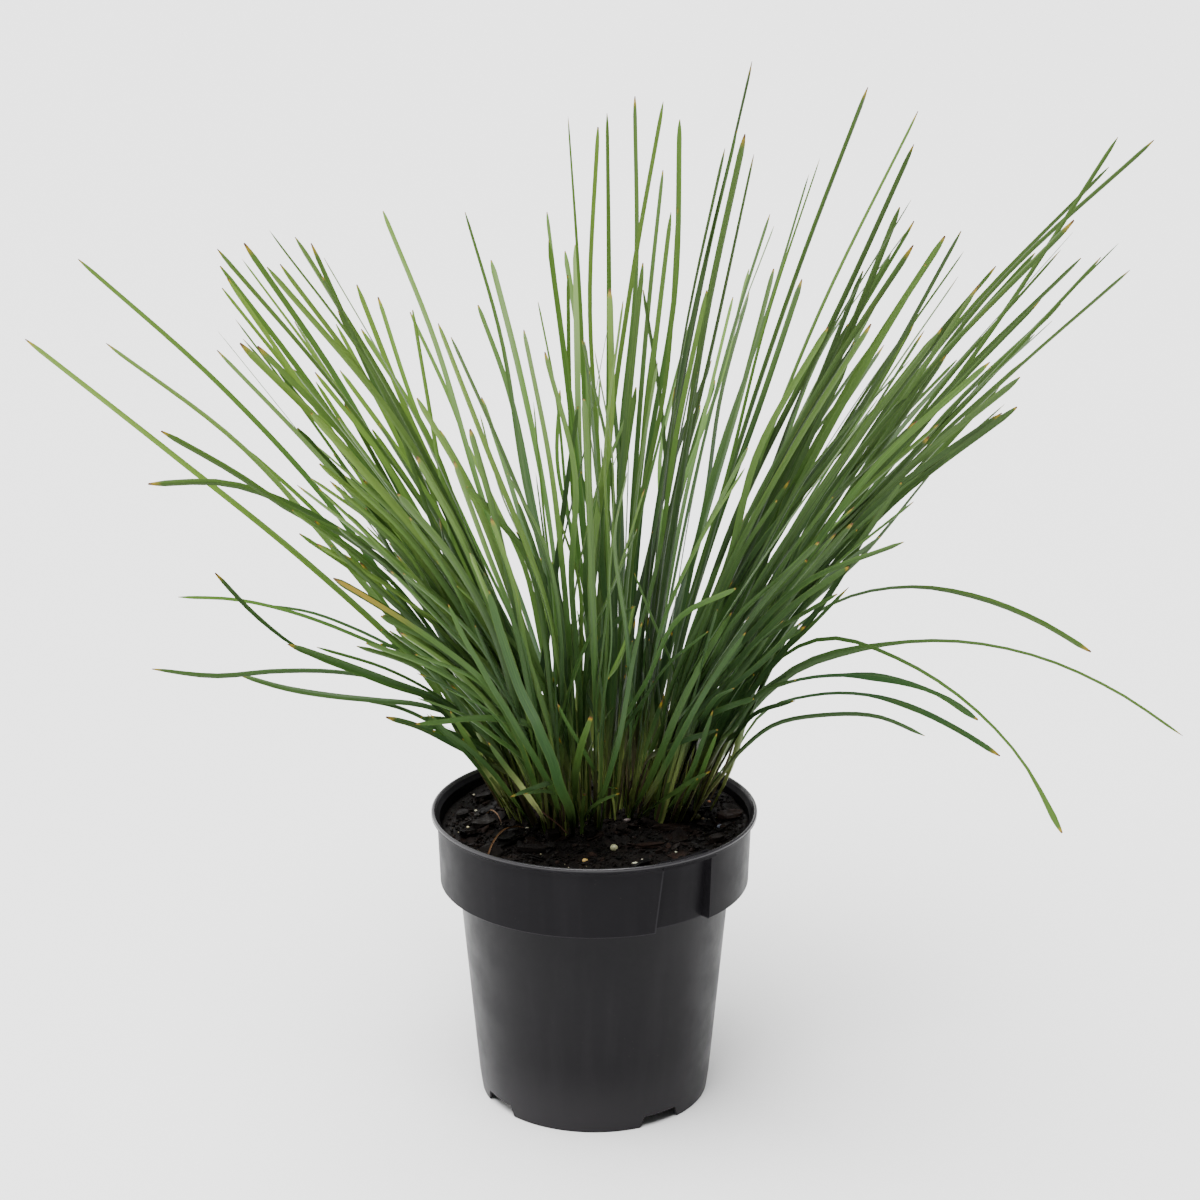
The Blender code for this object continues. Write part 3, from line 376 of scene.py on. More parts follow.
# Bark slabs that stand out on the mix: place in the front view, size in millimetres, bearing in degrees,
# and tone (lightness, warmth, grain, paleness)
BARK_SLABS = (
    ((729, 820), (17, 11, 3), 20, (0.8, 0.75, 0.2, 0)),
    ((672, 832), (25, 6, 3), -8, (0.55, 0.35, 0.5, 0)),
    ((655, 827), (15, 5, 3), 5, (0.3, 0.15, 0.9, 0)),
    ((484, 826), (15, 9, 3), 15, (0.45, 0.10, 0.4, 0)),
    ((506, 841), (13, 12, 4), 60, (0.25, 0.00, 0.7, 0)),
    ((553, 838), (9, 10, 5), 30, (0.50, 0.10, 0.3, 0)),
    ((590, 836), (12, 8, 4), 100, (0.30, 0.05, 0.6, 0)),
    ((534, 851), (20, 7, 3), -5, (0.35, 0.10, 0.1, 0)),
    ((622, 832), (11, 7, 3), 75, (0.30, 0.10, 0.8, 0)),
    ((650, 848), (18, 5, 2), 12, (0.50, 0.45, 0.5, 0)),
    ((484, 797), (16, 6, 3), 50, (0.55, 0.10, 0.2, 0)),
    ((700, 795), (11, 6, 3), 10, (0.50, 0.40, 0.6, 0)),
    ((716, 844), (12, 6, 3), 35, (0.40, 0.20, 0.3, 0)),
    ((462, 815), (12, 7, 3), 70, (0.25, 0.05, 0.9, 0)),
)
LAID_PROUD = 0.8 * MM

# Grains and crumbs of feed on the mix: place, size and bearing as above, and colour
GRAINS = (
    ((614, 850), (4.8, 4.6, 4.2), 0, (0.36, 0.36, 0.20)),
    ((585, 862), (3.6, 2.8, 2.6), 20, (0.55, 0.36, 0.10)),
    ((635, 864), (4.0, 1.6, 1.4), 10, (0.50, 0.50, 0.36)),
    ((642, 860), (1.2, 1.2, 1.2), 0, (0.50, 0.46, 0.36)),
    ((676, 855), (1.6, 1.2, 1.2), 0, (0.42, 0.44, 0.32)),
    ((714, 845), (2.8, 1.8, 1.6), 30, (0.42, 0.42, 0.34)),
    ((697, 822), (4.4, 4.2, 4.0), 0, (0.050, 0.056, 0.010)),
    ((703, 822), (2.2, 1.6, 1.6), 0, (0.16, 0.12, 0.06)),
    ((720, 831), (4.2, 2.6, 2.2), 15, (0.12, 0.14, 0.19)),
    ((709, 808), (2.2, 2.2, 1.8), 0, (0.32, 0.12, 0.04)),
    ((627, 825), (5.0, 2.8, 2.4), 20, (0.10, 0.075, 0.070)),
    ((657, 825), (1.6, 1.2, 1.2), 0, (0.50, 0.44, 0.30)),
    ((647, 847), (1.4, 1.2, 1.0), 0, (0.55, 0.36, 0.16)),
    ((460, 783), (2.4, 1.8, 1.6), 0, (0.42, 0.40, 0.24)),
    ((476, 810), (2.0, 1.6, 1.4), 0, (0.44, 0.42, 0.30)),
    ((468, 829), (1.8, 1.6, 1.4), 0, (0.46, 0.42, 0.24)),
    ((527, 829), (2.4, 1.4, 1.2), 20, (0.50, 0.46, 0.36)),
    ((474, 796), (1.6, 1.2, 1.2), 0, (0.46, 0.42, 0.30)),
    ((503, 815), (2.0, 1.2, 1.0), 10, (0.55, 0.48, 0.36)),
    ((569, 866), (1.4, 1.2, 1.0), 0, (0.44, 0.40, 0.28)),
)

# Single leaves that stand out at the crown's front edge. marks go from the foot to the tip in the front
# view. ahead is how far the tip is in front of the foot, and blunt is how far past its end the leaf would
# come to a point, both in millimetres as the width is. look holds hue, shade, age and a seed.
FrontLeaf = namedtuple("FrontLeaf", "ahead width blunt look marks")
AHEAD_EASE = 0.7

FRONT_LEAVES = (
    FrontLeaf(126, 4.4, 1, (0.75, 0.30, 0.3, 0.9),
              ((553, 824), (547, 780), (540, 742), (530, 725), (510, 720), (484, 718), (464, 719),
               (440, 722), (415, 724))),
    FrontLeaf(62, 4.0, 1, (0.55, 0.35, 0.35, 0.9),
              ((567, 830), (566, 800), (562, 788), (553, 783), (545, 784), (528, 790), (510, 797))),
    FrontLeaf(62, 2.8, 1, (0.80, 0.25, 0.35, 0.9),
              ((564, 830), (562, 803), (556, 794), (545, 791), (535, 792), (524, 794))),
    FrontLeaf(70, 5.0, 18, (1.00, 0.02, 0.3, 0.95),
              ((577, 826), (575, 781), (577, 765), (580, 750), (584, 737), (591, 717))),
    FrontLeaf(138, 6.4, 0.5, (0.20, 0.46, 0.2, 0.95),
              ((573, 833), (570, 809), (560, 787), (552, 760), (542, 738), (535, 720), (520, 690),
               (502, 638), (488, 590))),
    FrontLeaf(138, 3.8, 0.5, (0.50, 0.40, 0.2, 0.9),
              ((563, 831), (554, 795), (540, 767), (524, 740), (508, 712), (494, 690), (478, 662),
               (463, 636), (448, 604))),
    FrontLeaf(94, 3.4, 0.5, (0.40, 0.62, 0.3, 0.9),
              ((588, 826), (596, 806), (604, 790), (611, 768), (619, 740), (626, 702), (633, 660),
               (642, 622))),
    FrontLeaf(40, 2.6, 3, (0.65, 0.25, 0.3, 0.9),
              ((582, 830), (587, 813), (594, 805), (605, 799), (620, 793))),
    FrontLeaf(45, 2.6, 3, (0.55, 0.30, 0.4, 0.9),
              ((588, 827), (596, 801), (603, 790), (609, 787), (619, 789))),
    FrontLeaf(70, 4.4, 0.5, (0.80, 0.20, 0.2, 0.9),
              ((631, 820), (637, 803), (646, 786), (655, 767), (664, 745), (675, 718), (689, 688),
               (709, 650), (732, 612))),
    FrontLeaf(98, 3.8, 0.5, (0.40, 0.62, 0.2, 0.45),
              ((637, 820), (650, 794), (664, 768), (679, 739), (695, 709), (717, 673), (746, 632))),
    FrontLeaf(46, 3.4, 1, (0.65, 0.30, 0.4, 0.9),
              ((638, 821), (656, 804), (675, 792), (690, 782), (711, 771))),
    FrontLeaf(56, 3.6, 0.5, (0.50, 0.50, 0.4, 0.9),
              ((655, 821), (671, 805), (684, 785), (694, 766), (703, 740), (713, 710))),
    FrontLeaf(82, 3.4, 1, (0.95, 0.12, 0.3, 0.9),
              ((687, 812), (693, 789), (700, 776), (708, 756), (717, 733))),
    FrontLeaf(54, 3.0, 1, (0.70, 0.60, 0.3, 0.9),
              ((682, 817), (685, 801), (690, 789), (698, 778))),
    FrontLeaf(98, 4.2, 0.5, (1.00, 0.02, 0.2, 0.02),
              ((508, 812), (497, 787), (485, 768), (473, 749), (463, 732), (450, 711))),
    FrontLeaf(80, 2.8, 0.5, (1.00, 0.10, 0.2, 0.10),
              ((512, 811), (500, 790), (487, 772), (476, 756), (462, 738))),
    FrontLeaf(50, 4.0, 0.5, (1.00, 0.00, 0.2, 0.02),
              ((551, 832), (541, 814), (531, 800), (518, 782), (503, 763), (488, 742))),
    FrontLeaf(100, 2.6, 0.5, (0.65, 0.25, 0.4, 0.9),
              ((607, 817), (600, 781), (590, 762), (578, 741), (566, 721), (558, 704))),
    FrontLeaf(76, 3.2, 0.5, (0.50, 0.40, 0.4, 0.9),
              ((533, 828), (512, 797), (490, 769), (467, 747), (446, 731), (430, 714))),
    FrontLeaf(100, 2.6, 0.5, (0.40, 0.50, 0.4, 0.9),
              ((507, 812), (490, 783), (477, 766), (463, 750), (440, 729), (427, 714))),
    FrontLeaf(165, 3.6, 0.5, (0.70, 0.20, 8.0, 0.9),
              ((548, 830), (530, 770), (510, 722), (493, 694), (474, 672), (424, 634), (371, 600),
               (333, 578))),
    FrontLeaf(90, 4.6, 0.5, (0.25, 0.75, 0.3, 0.9),
              ((590, 818), (583, 745), (581, 697), (588, 674), (598, 647), (610, 629), (622, 616),
               (634, 606))),
)

# The end of a leaf that bends over sharply and hangs in front of the tuft
HANGING_END = ((634, 606), (632, 616), (629, 632), (623, 650), (616, 666), (607, 680))
HANGING_BEHIND = -76 * MM
HANGING_WIDTH = 5.4 * MM
HANGING_LOOK = (1, 0, 0.1, 0.95)

# A dry leaf that lies against the crown's front
LEANING_DRY_LEAF = ((567, 833), (558, 824), (549, 817), (540, 810), (531, 804), (528, 807))
DRY_LEAF_AHEAD = 16 * MM
DRY_LEAF_WIDTH = 2.6 * MM
DRY_LEAF_LOOK = (0.2, 0.65, 0.5, 0.4)

# The curve, width and folding of every leaf
SHEATH_DEPTH = 9 * MM
BLADE_WIDTH = (3.0 * MM, 4.9 * MM)
FILLER_WIDTH_SHARE = 0.94
BLADE_THICKNESS = 0.5 * MM
FULL_THICKNESS_FROM = 1.2 * MM
LEAST_THICKNESS = 0.25
BLADE_RINGS = 30
TIP_RINGS = (0.955, 0.973, 0.986, 0.995, 1.0)
TIP_RINGS_FROM = 0.93
CURVE_STEPS = 16
LEAF_SHARP_FROM = radians(60)
FOLD_IN_SHEATH = radians(50)
FOLD_OPENS_OVER = 45 * MM
FOLD_DEGREES = (6, 24)
TIP_LENGTH = 9 * MM
TIP_ROUNDNESS = 0.75
FOOT_NARROWING = 0.45
FOOT_LENGTH = 26 * MM
SWAY = 0.022

# A leaf's turn about itself: it opens above its sheath, and shows its broad side at one place on its way
OPENS_FROM = 20 * MM
OPENS_OVER = 0.4
FACING_AT = 0.6
FACING_SHARES = (0.8, 0.6)
LEAF_TURN = radians(28)
LEAF_TWIST = radians(45)

# How far a leaf narrows and how late, for needles and for the others
NEEDLE_SHARE = 0.12
NEEDLE_SHAPE = ((0.22, 0.35), (1.2, 1.8))
NEEDLE_BLUNT = 0.3 * MM
BROAD_SHAPE = ((0.58, 0.88), (2.0, 3.5))
BROAD_BLUNT = (0.6 * MM, 3.0 * MM)

# The colouring of leaves: hue and its spread, painted shade by the way that they lean (darker to the right,
# away from the light), and how few are aged
LOOK_SEED = 23
HUE = (0.42, 0.24)
PAINTED_SHADE_BY_LEAN = (-0.2, 0.95)
LEAN_FROM = -200 * MM
LEAN_OVER = 480 * MM
LISTED_YOUTH = 1.6
FILLER_YOUTH = 3

# Leaves that bend
BENT_WIDTH = (4.2 * MM, 5.0 * MM)
BENT_SHADE = (0.5, 0.9)
BENT_TURN = radians(12)

# The stub of a cut leaf
STUB_NAME = "leaf_stub"
STUB_WIDTH = 5.2 * MM
STUB_BLUNT = 25 * MM
STUB_LOOK = (0.85, 0.05, 0.0, 0.9)
STUB_SHOWS = ((0, 1.6), (1, 1.2))

# How a shoot's leaves fan out of its sheath: the outer ones leave it lower down
FAN_TURN = radians(75)
FAN_WIDTH = 0.8 * MM
FAN_PER_LEAF = 0.26 * MM
FOOT_SPREAD = 0.4
FOOT_JITTER = 0.5 * MM
FRONT_FAN_TURN = radians(20)
LEAVES_SHEATH_AT = (4 * MM, 22 * MM)
LEAVING_EASE = 1.2
SHEATH_SHARE = 0.4
BETWEEN_SHARE = 0.45
BETWEEN_RISE = 0.05
FRONT_FAN_SHARE = 0.7
FRONT_FAN_LEAN = 0.8

# Shorter leaves that fill the tuft, fanned out of a shoot's foot or along its listed leaves
FILLER_ROOM = 3.4 * MM
FILLER_ROUNDS = 36
FILLER_SEED = 11
FAN_TILT = (radians(7), radians(36))
LONG_TILT_SHARE = 2.5
FAN_LENGTH = (75 * MM, 300 * MM)
FAN_SWAY = 0.07
FAN_BOW = (0.6, 1.5)
LOWEST_LEAN = 0.5
ALONG_SHARE = (0.58, 0.98)
ALONG_BENT_SHARE = (0.3, 0.55)
ALONG_SWAY = 0.055
ALONG_BOW = (0.5, 1.3)

# How many shorter leaves a shoot has along its listed ones, and how many fan out of its foot
FILLERS = (4, 2)
FRONT_FILLERS = (4, 4)
OTHER_FILLERS = {
    "shoot_01": (1, 2), "shoot_02": (8, 2), "shoot_03": (8, 2), "shoot_04": (8, 2), "shoot_05": (8, 2),
    "shoot_06": (3, 2), "shoot_07": (1, 1), "shoot_08": (2, 1), "shoot_09": (1, 2), "shoot_10": (2, 1),
    "shoot_11": (7, 2), "shoot_12": (7, 3), "shoot_13": (6, 3), "shoot_17": (3, 1), "shoot_18": (3, 2),
    "shoot_19": (2, 2), "shoot_20": (1, 1), "shoot_21": (2, 1), "shoot_22": (3, 2), "shoot_23": (3, 1),
    "shoot_24": (3, 2), "shoot_25": (3, 1), "shoot_26": (7, 2), "shoot_27": (3, 2), "shoot_28": (2, 1),
    "shoot_29": (2, 1), "shoot_30": (3, 1), "shoot_32": (1, 2), "shoot_33": (5, 1), "shoot_34": (5, 2),
    "shoot_35": (7, 2), "shoot_36": (5, 2), "shoot_37": (6, 2), "shoot_38": (5, 2), "shoot_39": (5, 2),
    "shoot_40": (6, 2), "shoot_41": (6, 2), "shoot_42": (2, 2), "shoot_43": (3, 1), "shoot_44": (1, 2),
    "shoot_45": (1, 2), "shoot_46": (0, 0), "shoot_47": (0, 0), "shoot_48": (0, 0), "shoot_49": (0, 0),
    "shoot_50": (0, 0), "shoot_51": (0, 1), "shoot_52": (0, 1), "shoot_53": (0, 0), "shoot_54": (0, 1),
    "leaf_stub": (0, 0),
}

# Short leaves at the middle of the crown, a few from each foot
INNER_FEET = 26
INNER_PER_FOOT = 3
INNER_REACH = 0.66
INNER_LENGTH = (50 * MM, 130 * MM)
INNER_LEAN = 0.22
INNER_SPREAD = 0.16
INNER_FOOT_SPREAD = 1.5 * MM
INNER_SHADE_LEAN = 0.5
INNER_SEED = 5

# Corners round a leaf's ring: along its upper side and back along its lower side
CORNER_ACROSS = np.array((-1, -0.5, 0, 0.5, 1, 0.5, 0, -0.5))
CORNER_RAISED = np.array((0, 0.42, 0.5, 0.42, 0, -0.42, -0.62, -0.42))


def mix(start, end, share):
    return start + (end - start) * share


def add_object(name, mesh):
    thing = bpy.data.objects.new(name, mesh)
    bpy.context.scene.collection.objects.link(thing)
    return thing


def form_object(name, form):
    """An object out of a bmesh form, which is used up."""
    mesh = bpy.data.meshes.new(name)
    form.to_mesh(mesh)
    form.free()
    return add_object(name, mesh)


def carry(thing, slot, *nodes):
    """Puts a piece on the part's one body and hides the solids that it stands in for."""
    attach(thing, "root")
    if nodes:
        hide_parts(*nodes)


def at_bearing(angle, radius, height):
    """A point about the pot's axis, by an angle to the right of the front."""
    return radius * sin(angle), -radius * cos(angle), height


# Materials


class Nodes:
    """Short calls that add nodes to a material or a world. An input is a value or another node's output."""

    def __init__(self, owner, shader):
        owner.use_nodes = True
        self.owner = owner
        self.tree = owner.node_tree
        self.shader = self.tree.nodes[shader]

    def put(self, inputs, key, value):
        if isinstance(value, bpy.types.NodeSocket):
            self.tree.links.new(value, inputs[key])
        else:
            inputs[key].default_value = value

    def node(self, kind, inputs=None, **settings):
        made = self.tree.nodes.new(kind)
        for name, value in settings.items():
            setattr(made, name, value)
        for key, value in (inputs or {}).items():
            self.put(made.inputs, key, value)
        return made

    def shaded(self, inputs):
        """Gives the shader its inputs and returns what it shades."""
        for key, value in inputs.items():
            self.put(self.shader.inputs, key, value)
        return self.owner

    def attribute(self, name):
        """The four numbers of a vertex attribute, as separate outputs."""
        source = self.node("ShaderNodeAttribute", attribute_name=name)
        parts = self.node("ShaderNodeSeparateColor", {"Color": source.outputs["Color"]})
        return (*parts.outputs[:3], source.outputs["Alpha"])

    def space(self, kind="Object"):
        return self.node("ShaderNodeTexCoord").outputs[kind]

    def stretched(self, scale):
        """The object's own space, stretched along its axes."""
        return self.node("ShaderNodeMapping", {"Vector": self.space(), "Scale": scale}).outputs["Vector"]

    def place(self, x, y, z):
        return self.node("ShaderNodeCombineXYZ", {0: x, 1: y, 2: z}).outputs[0]

    def axes(self, place):
        return self.node("ShaderNodeSeparateXYZ", {0: place}).outputs

    def maths(self, operation, first, second=0.0, clamp=False):
        made = self.node("ShaderNodeMath", {0: first, 1: second}, operation=operation, use_clamp=clamp)
        return made.outputs[0]

    def plus(self, first, second):
        return self.maths("ADD", first, second)

    def minus(self, first, second):
        return self.maths("SUBTRACT", first, second)

    def times(self, first, second):
        return self.maths("MULTIPLY", first, second)

    def between(self, share, low, high):
        """A number between low and high by a share."""
        return self.plus(self.times(share, high - low), low)

    def ranged(self, value, low, high, to_low, to_high):
        """The value's place between low and high, smoothly, as a number between to_low and to_high."""
        made = self.node(
            "ShaderNodeMapRange",
            {"Value": value, "From Min": low, "From Max": high, "To Min": to_low, "To Max": to_high},
            interpolation_type="SMOOTHSTEP",
        )
        return made.outputs["Result"]

    def share(self, value, none_at, most_at, most=1.0):
        """A share that goes smoothly from none to its most as the value goes from one number to another."""
        return self.ranged(value, none_at, most_at, 0.0, most)

    def coloured(self, share, first, second):
        """Two colours mixed by a share."""
        made = self.node("ShaderNodeMix", {0: share}, data_type="RGBA")
        for index, value in ((6, first), (7, second)):
            colour = value if isinstance(value, bpy.types.NodeSocket) else (*value, 1)
            self.put(made.inputs, index, colour)
        return made.outputs[2]

    def layered(self, colour, *layers):
        """A colour with others laid over it in turn, each given as its share and itself."""
        for share, over in layers:
            colour = self.coloured(share, colour, over)
        return colour

    def speckle(self, scale, detail, roughness=0.55, vector=None):
        """A noise pattern, in the object's own space unless another vector is given."""
        inputs = {"Vector": vector or self.space(), "Scale": scale, "Detail": detail, "Roughness": roughness}
        return self.node("ShaderNodeTexNoise", inputs).outputs["Fac"]

    def bump(self, height, strength, distance):
        inputs = {"Height": height, "Strength": strength, "Distance": distance}
        return self.node("ShaderNodeBump", inputs).outputs["Normal"]


def new_material(name):
    return Nodes(bpy.data.materials.new(name), "Principled BSDF")


def pot_plastic():
    """Satin dark grey plastic: mottling, fine grain and dust, edges and lip lighter and smoother (the lighter
    colour partly wear, partly painted highlight), and lighter towards the foot.
    """
    look = new_material("pot_plastic")
    axes = look.axes(look.space())
    height = axes["Z"]
    bearing = look.maths("ARCTAN2", axes["X"], look.times(axes["Y"], -1.0))
    slope = radians(RECESS_LEAN) / (RECESS_TOP - COLLAR_BOTTOM)
    side_bearing = radians(RECESS_FROM - EDGE_LINE_BEARING / 2) - slope * RECESS_TOP
    along_side = look.plus(look.times(height, slope), side_bearing)
    from_side = look.maths("ABSOLUTE", look.minus(bearing, along_side))
    on_collar = look.share(height, COLLAR_BOTTOM - 0.2 * MM, COLLAR_BOTTOM + 0.1 * MM)
    under_band = look.share(height, RECESS_TOP, RECESS_TOP - 2 * MM)
    side = look.share(from_side, radians(EDGE_LINE_BEARING), radians(EDGE_LINE_BEARING / 3))
    side = look.times(look.times(side, on_collar), under_band)
    under = look.share(height, COLLAR_BOTTOM + EDGE_LINE_HEIGHT, COLLAR_BOTTOM + 0.4 * EDGE_LINE_HEIGHT)
    under = look.times(under, on_collar)
    lip = look.share(height, POT_HEIGHT - 2.2 * MM, POT_HEIGHT - 1.0 * MM)
    streak = look.speckle(1, 3, vector=look.stretched((90, 90, 6)))
    colour = look.layered(
        (0.0070, 0.0066, 0.0076),
        (look.speckle(22, 4), (0.0098, 0.0092, 0.0106)),
        (look.share(streak, 0.45, 0.75, 0.35), (0.0140, 0.0130, 0.0148)),
        (look.share(look.speckle(620, 2), 0.72, 0.80, 0.5), DUST_COLOUR),
        # Lighter lines on these edges and a lighter lip: partly wear, partly painted highlight
        (look.times(look.maths("MAXIMUM", side, under), 0.45), WORN_AND_HIGHLIGHT_COLOUR),
        (look.times(lip, 0.5), WORN_AND_HIGHLIGHT_COLOUR),
        # Lighter towards the foot
        (look.share(height, 50 * MM, 0, 0.8), LIGHTER_FOOT_COLOUR),
    )
    gloss = look.minus(0.085, look.times(on_collar, 0.045))
    rough = look.ranged(look.speckle(45, 4), 0.3, 0.7, 0.34, 0.46)
    return look.shaded(
        {
            "Base Color": colour,
            "Specular IOR Level": look.plus(gloss, look.times(lip, 0.36)),
            "Roughness": look.minus(rough, look.times(lip, 0.16)),
            "Normal": look.bump(look.speckle(1500, 2), 0.12, 0.0002),
        }
    )


def bark():
    """Moist bark: each piece has its own tone, with a fibrous grain."""
    look = new_material("bark")
    tone, warmth, own_wetness, pale = look.attribute("bark_tone")
    grain = look.speckle(1, 5, 0.65, look.stretched((520, 260, 900)))
    colour = look.layered(
        (0.0011, 0.0010, 0.0009),
        (tone, (0.0078, 0.0056, 0.0044)),
        (warmth, (0.026, 0.0125, 0.0080)),
        (look.share(grain, 0.35, 0.75, 0.75), (0.0009, 0.0008, 0.0007)),
        (pale, (0.26, 0.23, 0.15)),
    )
    wet = look.ranged(look.speckle(160, 3), 0.35, 0.65, 0.45, 0.85)
    return look.shaded(
        {
            "Base Color": colour,
            "Specular IOR Level": 0.13,
            "Roughness": look.maths("ADD", wet, look.times(own_wetness, 0.1), True),
            "Normal": look.bump(grain, 0.8, 0.0006),
        }
    )


def grain_material():
    """Grains that lie on the bark: each has its own plain colour."""
    look = new_material("grain")
    tint = look.node("ShaderNodeAttribute", attribute_name="bark_tone").outputs["Color"]
    mottle = look.share(look.speckle(900, 2), 0.4, 0.7, 0.35)
    return look.shaded({"Base Color": look.coloured(mottle, tint, (0.05, 0.04, 0.03)), "Roughness": 0.55})


def leaf_green():
    """Leaf: ribs along it, greens that differ from leaf to leaf, painted shade on leaves that lean to the
    right and low in the tuft, painted light on their upper parts, a pale base and a yellow to brown tip.
    """
    look = new_material("leaf_green")
    across, from_tip, from_ground, lower_side = look.attribute("leaf_place")
    hue, shade, age, seed = look.attribute("leaf_look")
    ribs_across = look.plus(look.times(across, 9.0), look.times(seed, 61.0))
    along = look.place(ribs_across, look.times(from_ground, 5.0), look.times(seed, 17.0))
    ribs = look.speckle(2.2, 3, 0.6, along)
    edge = look.maths("ABSOLUTE", look.minus(across, 0.5))
    # Painted light: the upper parts of leaves are lighter, less so on leaves with more painted shade
    painted_top_light = look.times(look.share(from_ground, 0.16, 0.40, 0.5), look.between(shade, 1.0, 0.2))
    base = look.share(look.plus(from_ground, look.times(ribs, 0.02)), 0.095, 0.018, 0.8)
    base_colour = look.layered(
        (0.29, 0.36, 0.10),
        (look.share(seed, 0.30, 0.60), (0.090, 0.058, 0.037)),
        (look.share(seed, 0.75, 0.85), (0.080, 0.145, 0.030)),
    )
    bleached = look.times(look.share(seed, 0.05, 0.04), look.share(hue, 0.96, 0.99))
    bleached = look.times(bleached, look.share(from_ground, 0.085, 0.03, 0.9))
    spots = look.share(look.speckle(3.2, 1, 0.4, along), 0.70, 0.76, 0.7)
    yellow_reach = look.maths("DIVIDE", from_tip, look.between(age, 0.2, 1.2))
    brown_age = look.maths("MINIMUM", age, 1.5)
    brown_reach = look.maths("DIVIDE", from_tip, look.between(brown_age, 0.2, 1.2))
    green = look.layered(
        (0.016, 0.056, 0.014),
        (hue, (0.058, 0.134, 0.014)),
        # Darker or lighter by the leaf's shade number, partly a random tone and partly painted shade: leaves
        # that lean to the right, away from the light, are darker
        (look.share(shade, 0.45, 1.0, 0.80), (0.010, 0.024, 0.008)),
        (look.share(shade, 0.22, 0.0, 0.85), (0.094, 0.174, 0.024)),
        (look.share(look.speckle(9.0, 3), 0.35, 0.7, 0.35), (0.035, 0.087, 0.012)),
        (look.share(ribs, 0.50, 0.68, 0.55), (0.084, 0.163, 0.028)),
        (look.share(ribs, 0.48, 0.30, 0.60), (0.007, 0.018, 0.005)),
        (look.times(lower_side, 0.12), (0.066, 0.110, 0.022)),
        (painted_top_light, (0.160, 0.260, 0.036)),
        # Painted shade: leaves darker low in the tuft
        (look.share(from_ground, 0.30, 0.06, 0.57), (0.015, 0.036, 0.013)),
        (look.share(edge, 0.44, 0.5, 0.35), (0.13, 0.17, 0.03)),
        (base, base_colour),
        (bleached, (0.46, 0.52, 0.20)),
        (look.times(spots, look.share(age, 0.6, 1.0)), (0.26, 0.21, 0.02)),
        (look.share(yellow_reach, 0.009, 0.002, 0.8), (0.30, 0.19, 0.012)),
        (look.share(brown_reach, 0.0035, 0.001, 0.95), (0.085, 0.036, 0.014)),
    )
    return look.shaded(
        {
            "Base Color": green,
            "Specular IOR Level": 0.17,
            "Roughness": look.ranged(ribs, 0.3, 0.7, 0.36, 0.50),
            "Normal": look.bump(ribs, 0.35, 0.0003),
        }
    )


def dry_leaf():
    """Dead leaf: orange-brown straw with darker streaks and ends."""
    look = new_material("dry_leaf")
    across, from_tip, _, _ = look.attribute("leaf_place")
    hue, shade, _, seed = look.attribute("leaf_look")
    along = look.place(look.times(across, 7.0), look.times(from_tip, 30.0), look.times(seed, 17.0))
    streaks = look.speckle(2.0, 4, 0.65, along)
    straw = look.layered(
        (0.125, 0.050, 0.014),
        (hue, (0.21, 0.125, 0.045)),
        (shade, (0.045, 0.022, 0.014)),
        (look.share(streaks, 0.4, 0.7, 0.7), (0.085, 0.036, 0.016)),
        (look.share(from_tip, 0.006, 0.0, 0.8), (0.06, 0.028, 0.016)),
    )
    return look.shaded(
        {
            "Base Color": straw,
            "Roughness": look.ranged(streaks, 0.3, 0.7, 0.5, 0.7),
            "Normal": look.bump(streaks, 0.5, 0.0004),
        }
    )


# Turned and swept shapes


def finished_mesh(thing):
    """The object's mesh with its modifiers, as a mesh of its own."""
    bpy.context.view_layer.update()
    state = bpy.context.evaluated_depsgraph_get()
    return bpy.data.meshes.new_from_object(thing.evaluated_get(state))


def face_outwards(form):
    """Turns every face of a closed form outwards."""
    bmesh.ops.recalc_face_normals(form, faces=form.faces)
    if form.calc_volume(signed=True) < 0:
        bmesh.ops.reverse_faces(form, faces=form.faces)


def turned(name, profile):
    """A profile of (radius, height) points, out along its top and down its outer side, turned about Z."""
    mesh = bpy.data.meshes.new(name)
    points = [(radius, 0, height) for radius, height in profile]
    mesh.from_pydata(points, [(i, i + 1) for i in range(len(points) - 1)], [])
    thing = add_object(name, mesh)
    screw = thing.modifiers.new("turn", "SCREW")
    screw.axis = "Z"
    screw.steps = screw.render_steps = POT_STEPS
    screw.use_merge_vertices = True
    screw.merge_threshold = 0.01 * MM
    return thing


def sector(name, section, bearing_from, bearing_to, lean=0):
    """A section of (radius, height) corners, swept about Z between two bearings.

    The side that it starts from leans by an angle over the height of the collar, so that it is wider below.
    """
    form = bmesh.new()
    start = radians(bearing_from)
    sweep = radians(bearing_to - bearing_from)
    face = form.faces.new([form.verts.new(at_bearing(start, radius, height)) for radius, height in section])
    bmesh.ops.spin(
        form,
        geom=[face, *face.edges, *face.verts],
        cent=(0, 0, 0),
        axis=(0, 0, 1),
        angle=sweep,
        steps=SECTOR_STEPS,
        use_duplicate=False,
    )
    for corner in form.verts:
        bearing = atan2(corner.co.x, -corner.co.y)
        side_share = (radians(bearing_to) - bearing) / sweep
        fall = max(0, RECESS_TOP - corner.co.z) / (RECESS_TOP - COLLAR_BOTTOM)
        bearing -= radians(lean) * side_share * fall
        radius = sqrt(corner.co.x**2 + corner.co.y**2)
        corner.co = at_bearing(bearing, radius, corner.co.z)
    face_outwards(form)
    return form_object(name, form)


def boolean(thing, tool, operation):
    step = thing.modifiers.new(tool.name, "BOOLEAN")
    step.operation = operation
    step.solver = "EXACT"
    step.object = tool
    return tool


# The pot


def wall_radius(height):
    """The body's outer radius between its foot and the collar."""
    return mix(FOOT_RADIUS, BODY_TOP_RADIUS, height / COLLAR_BOTTOM)


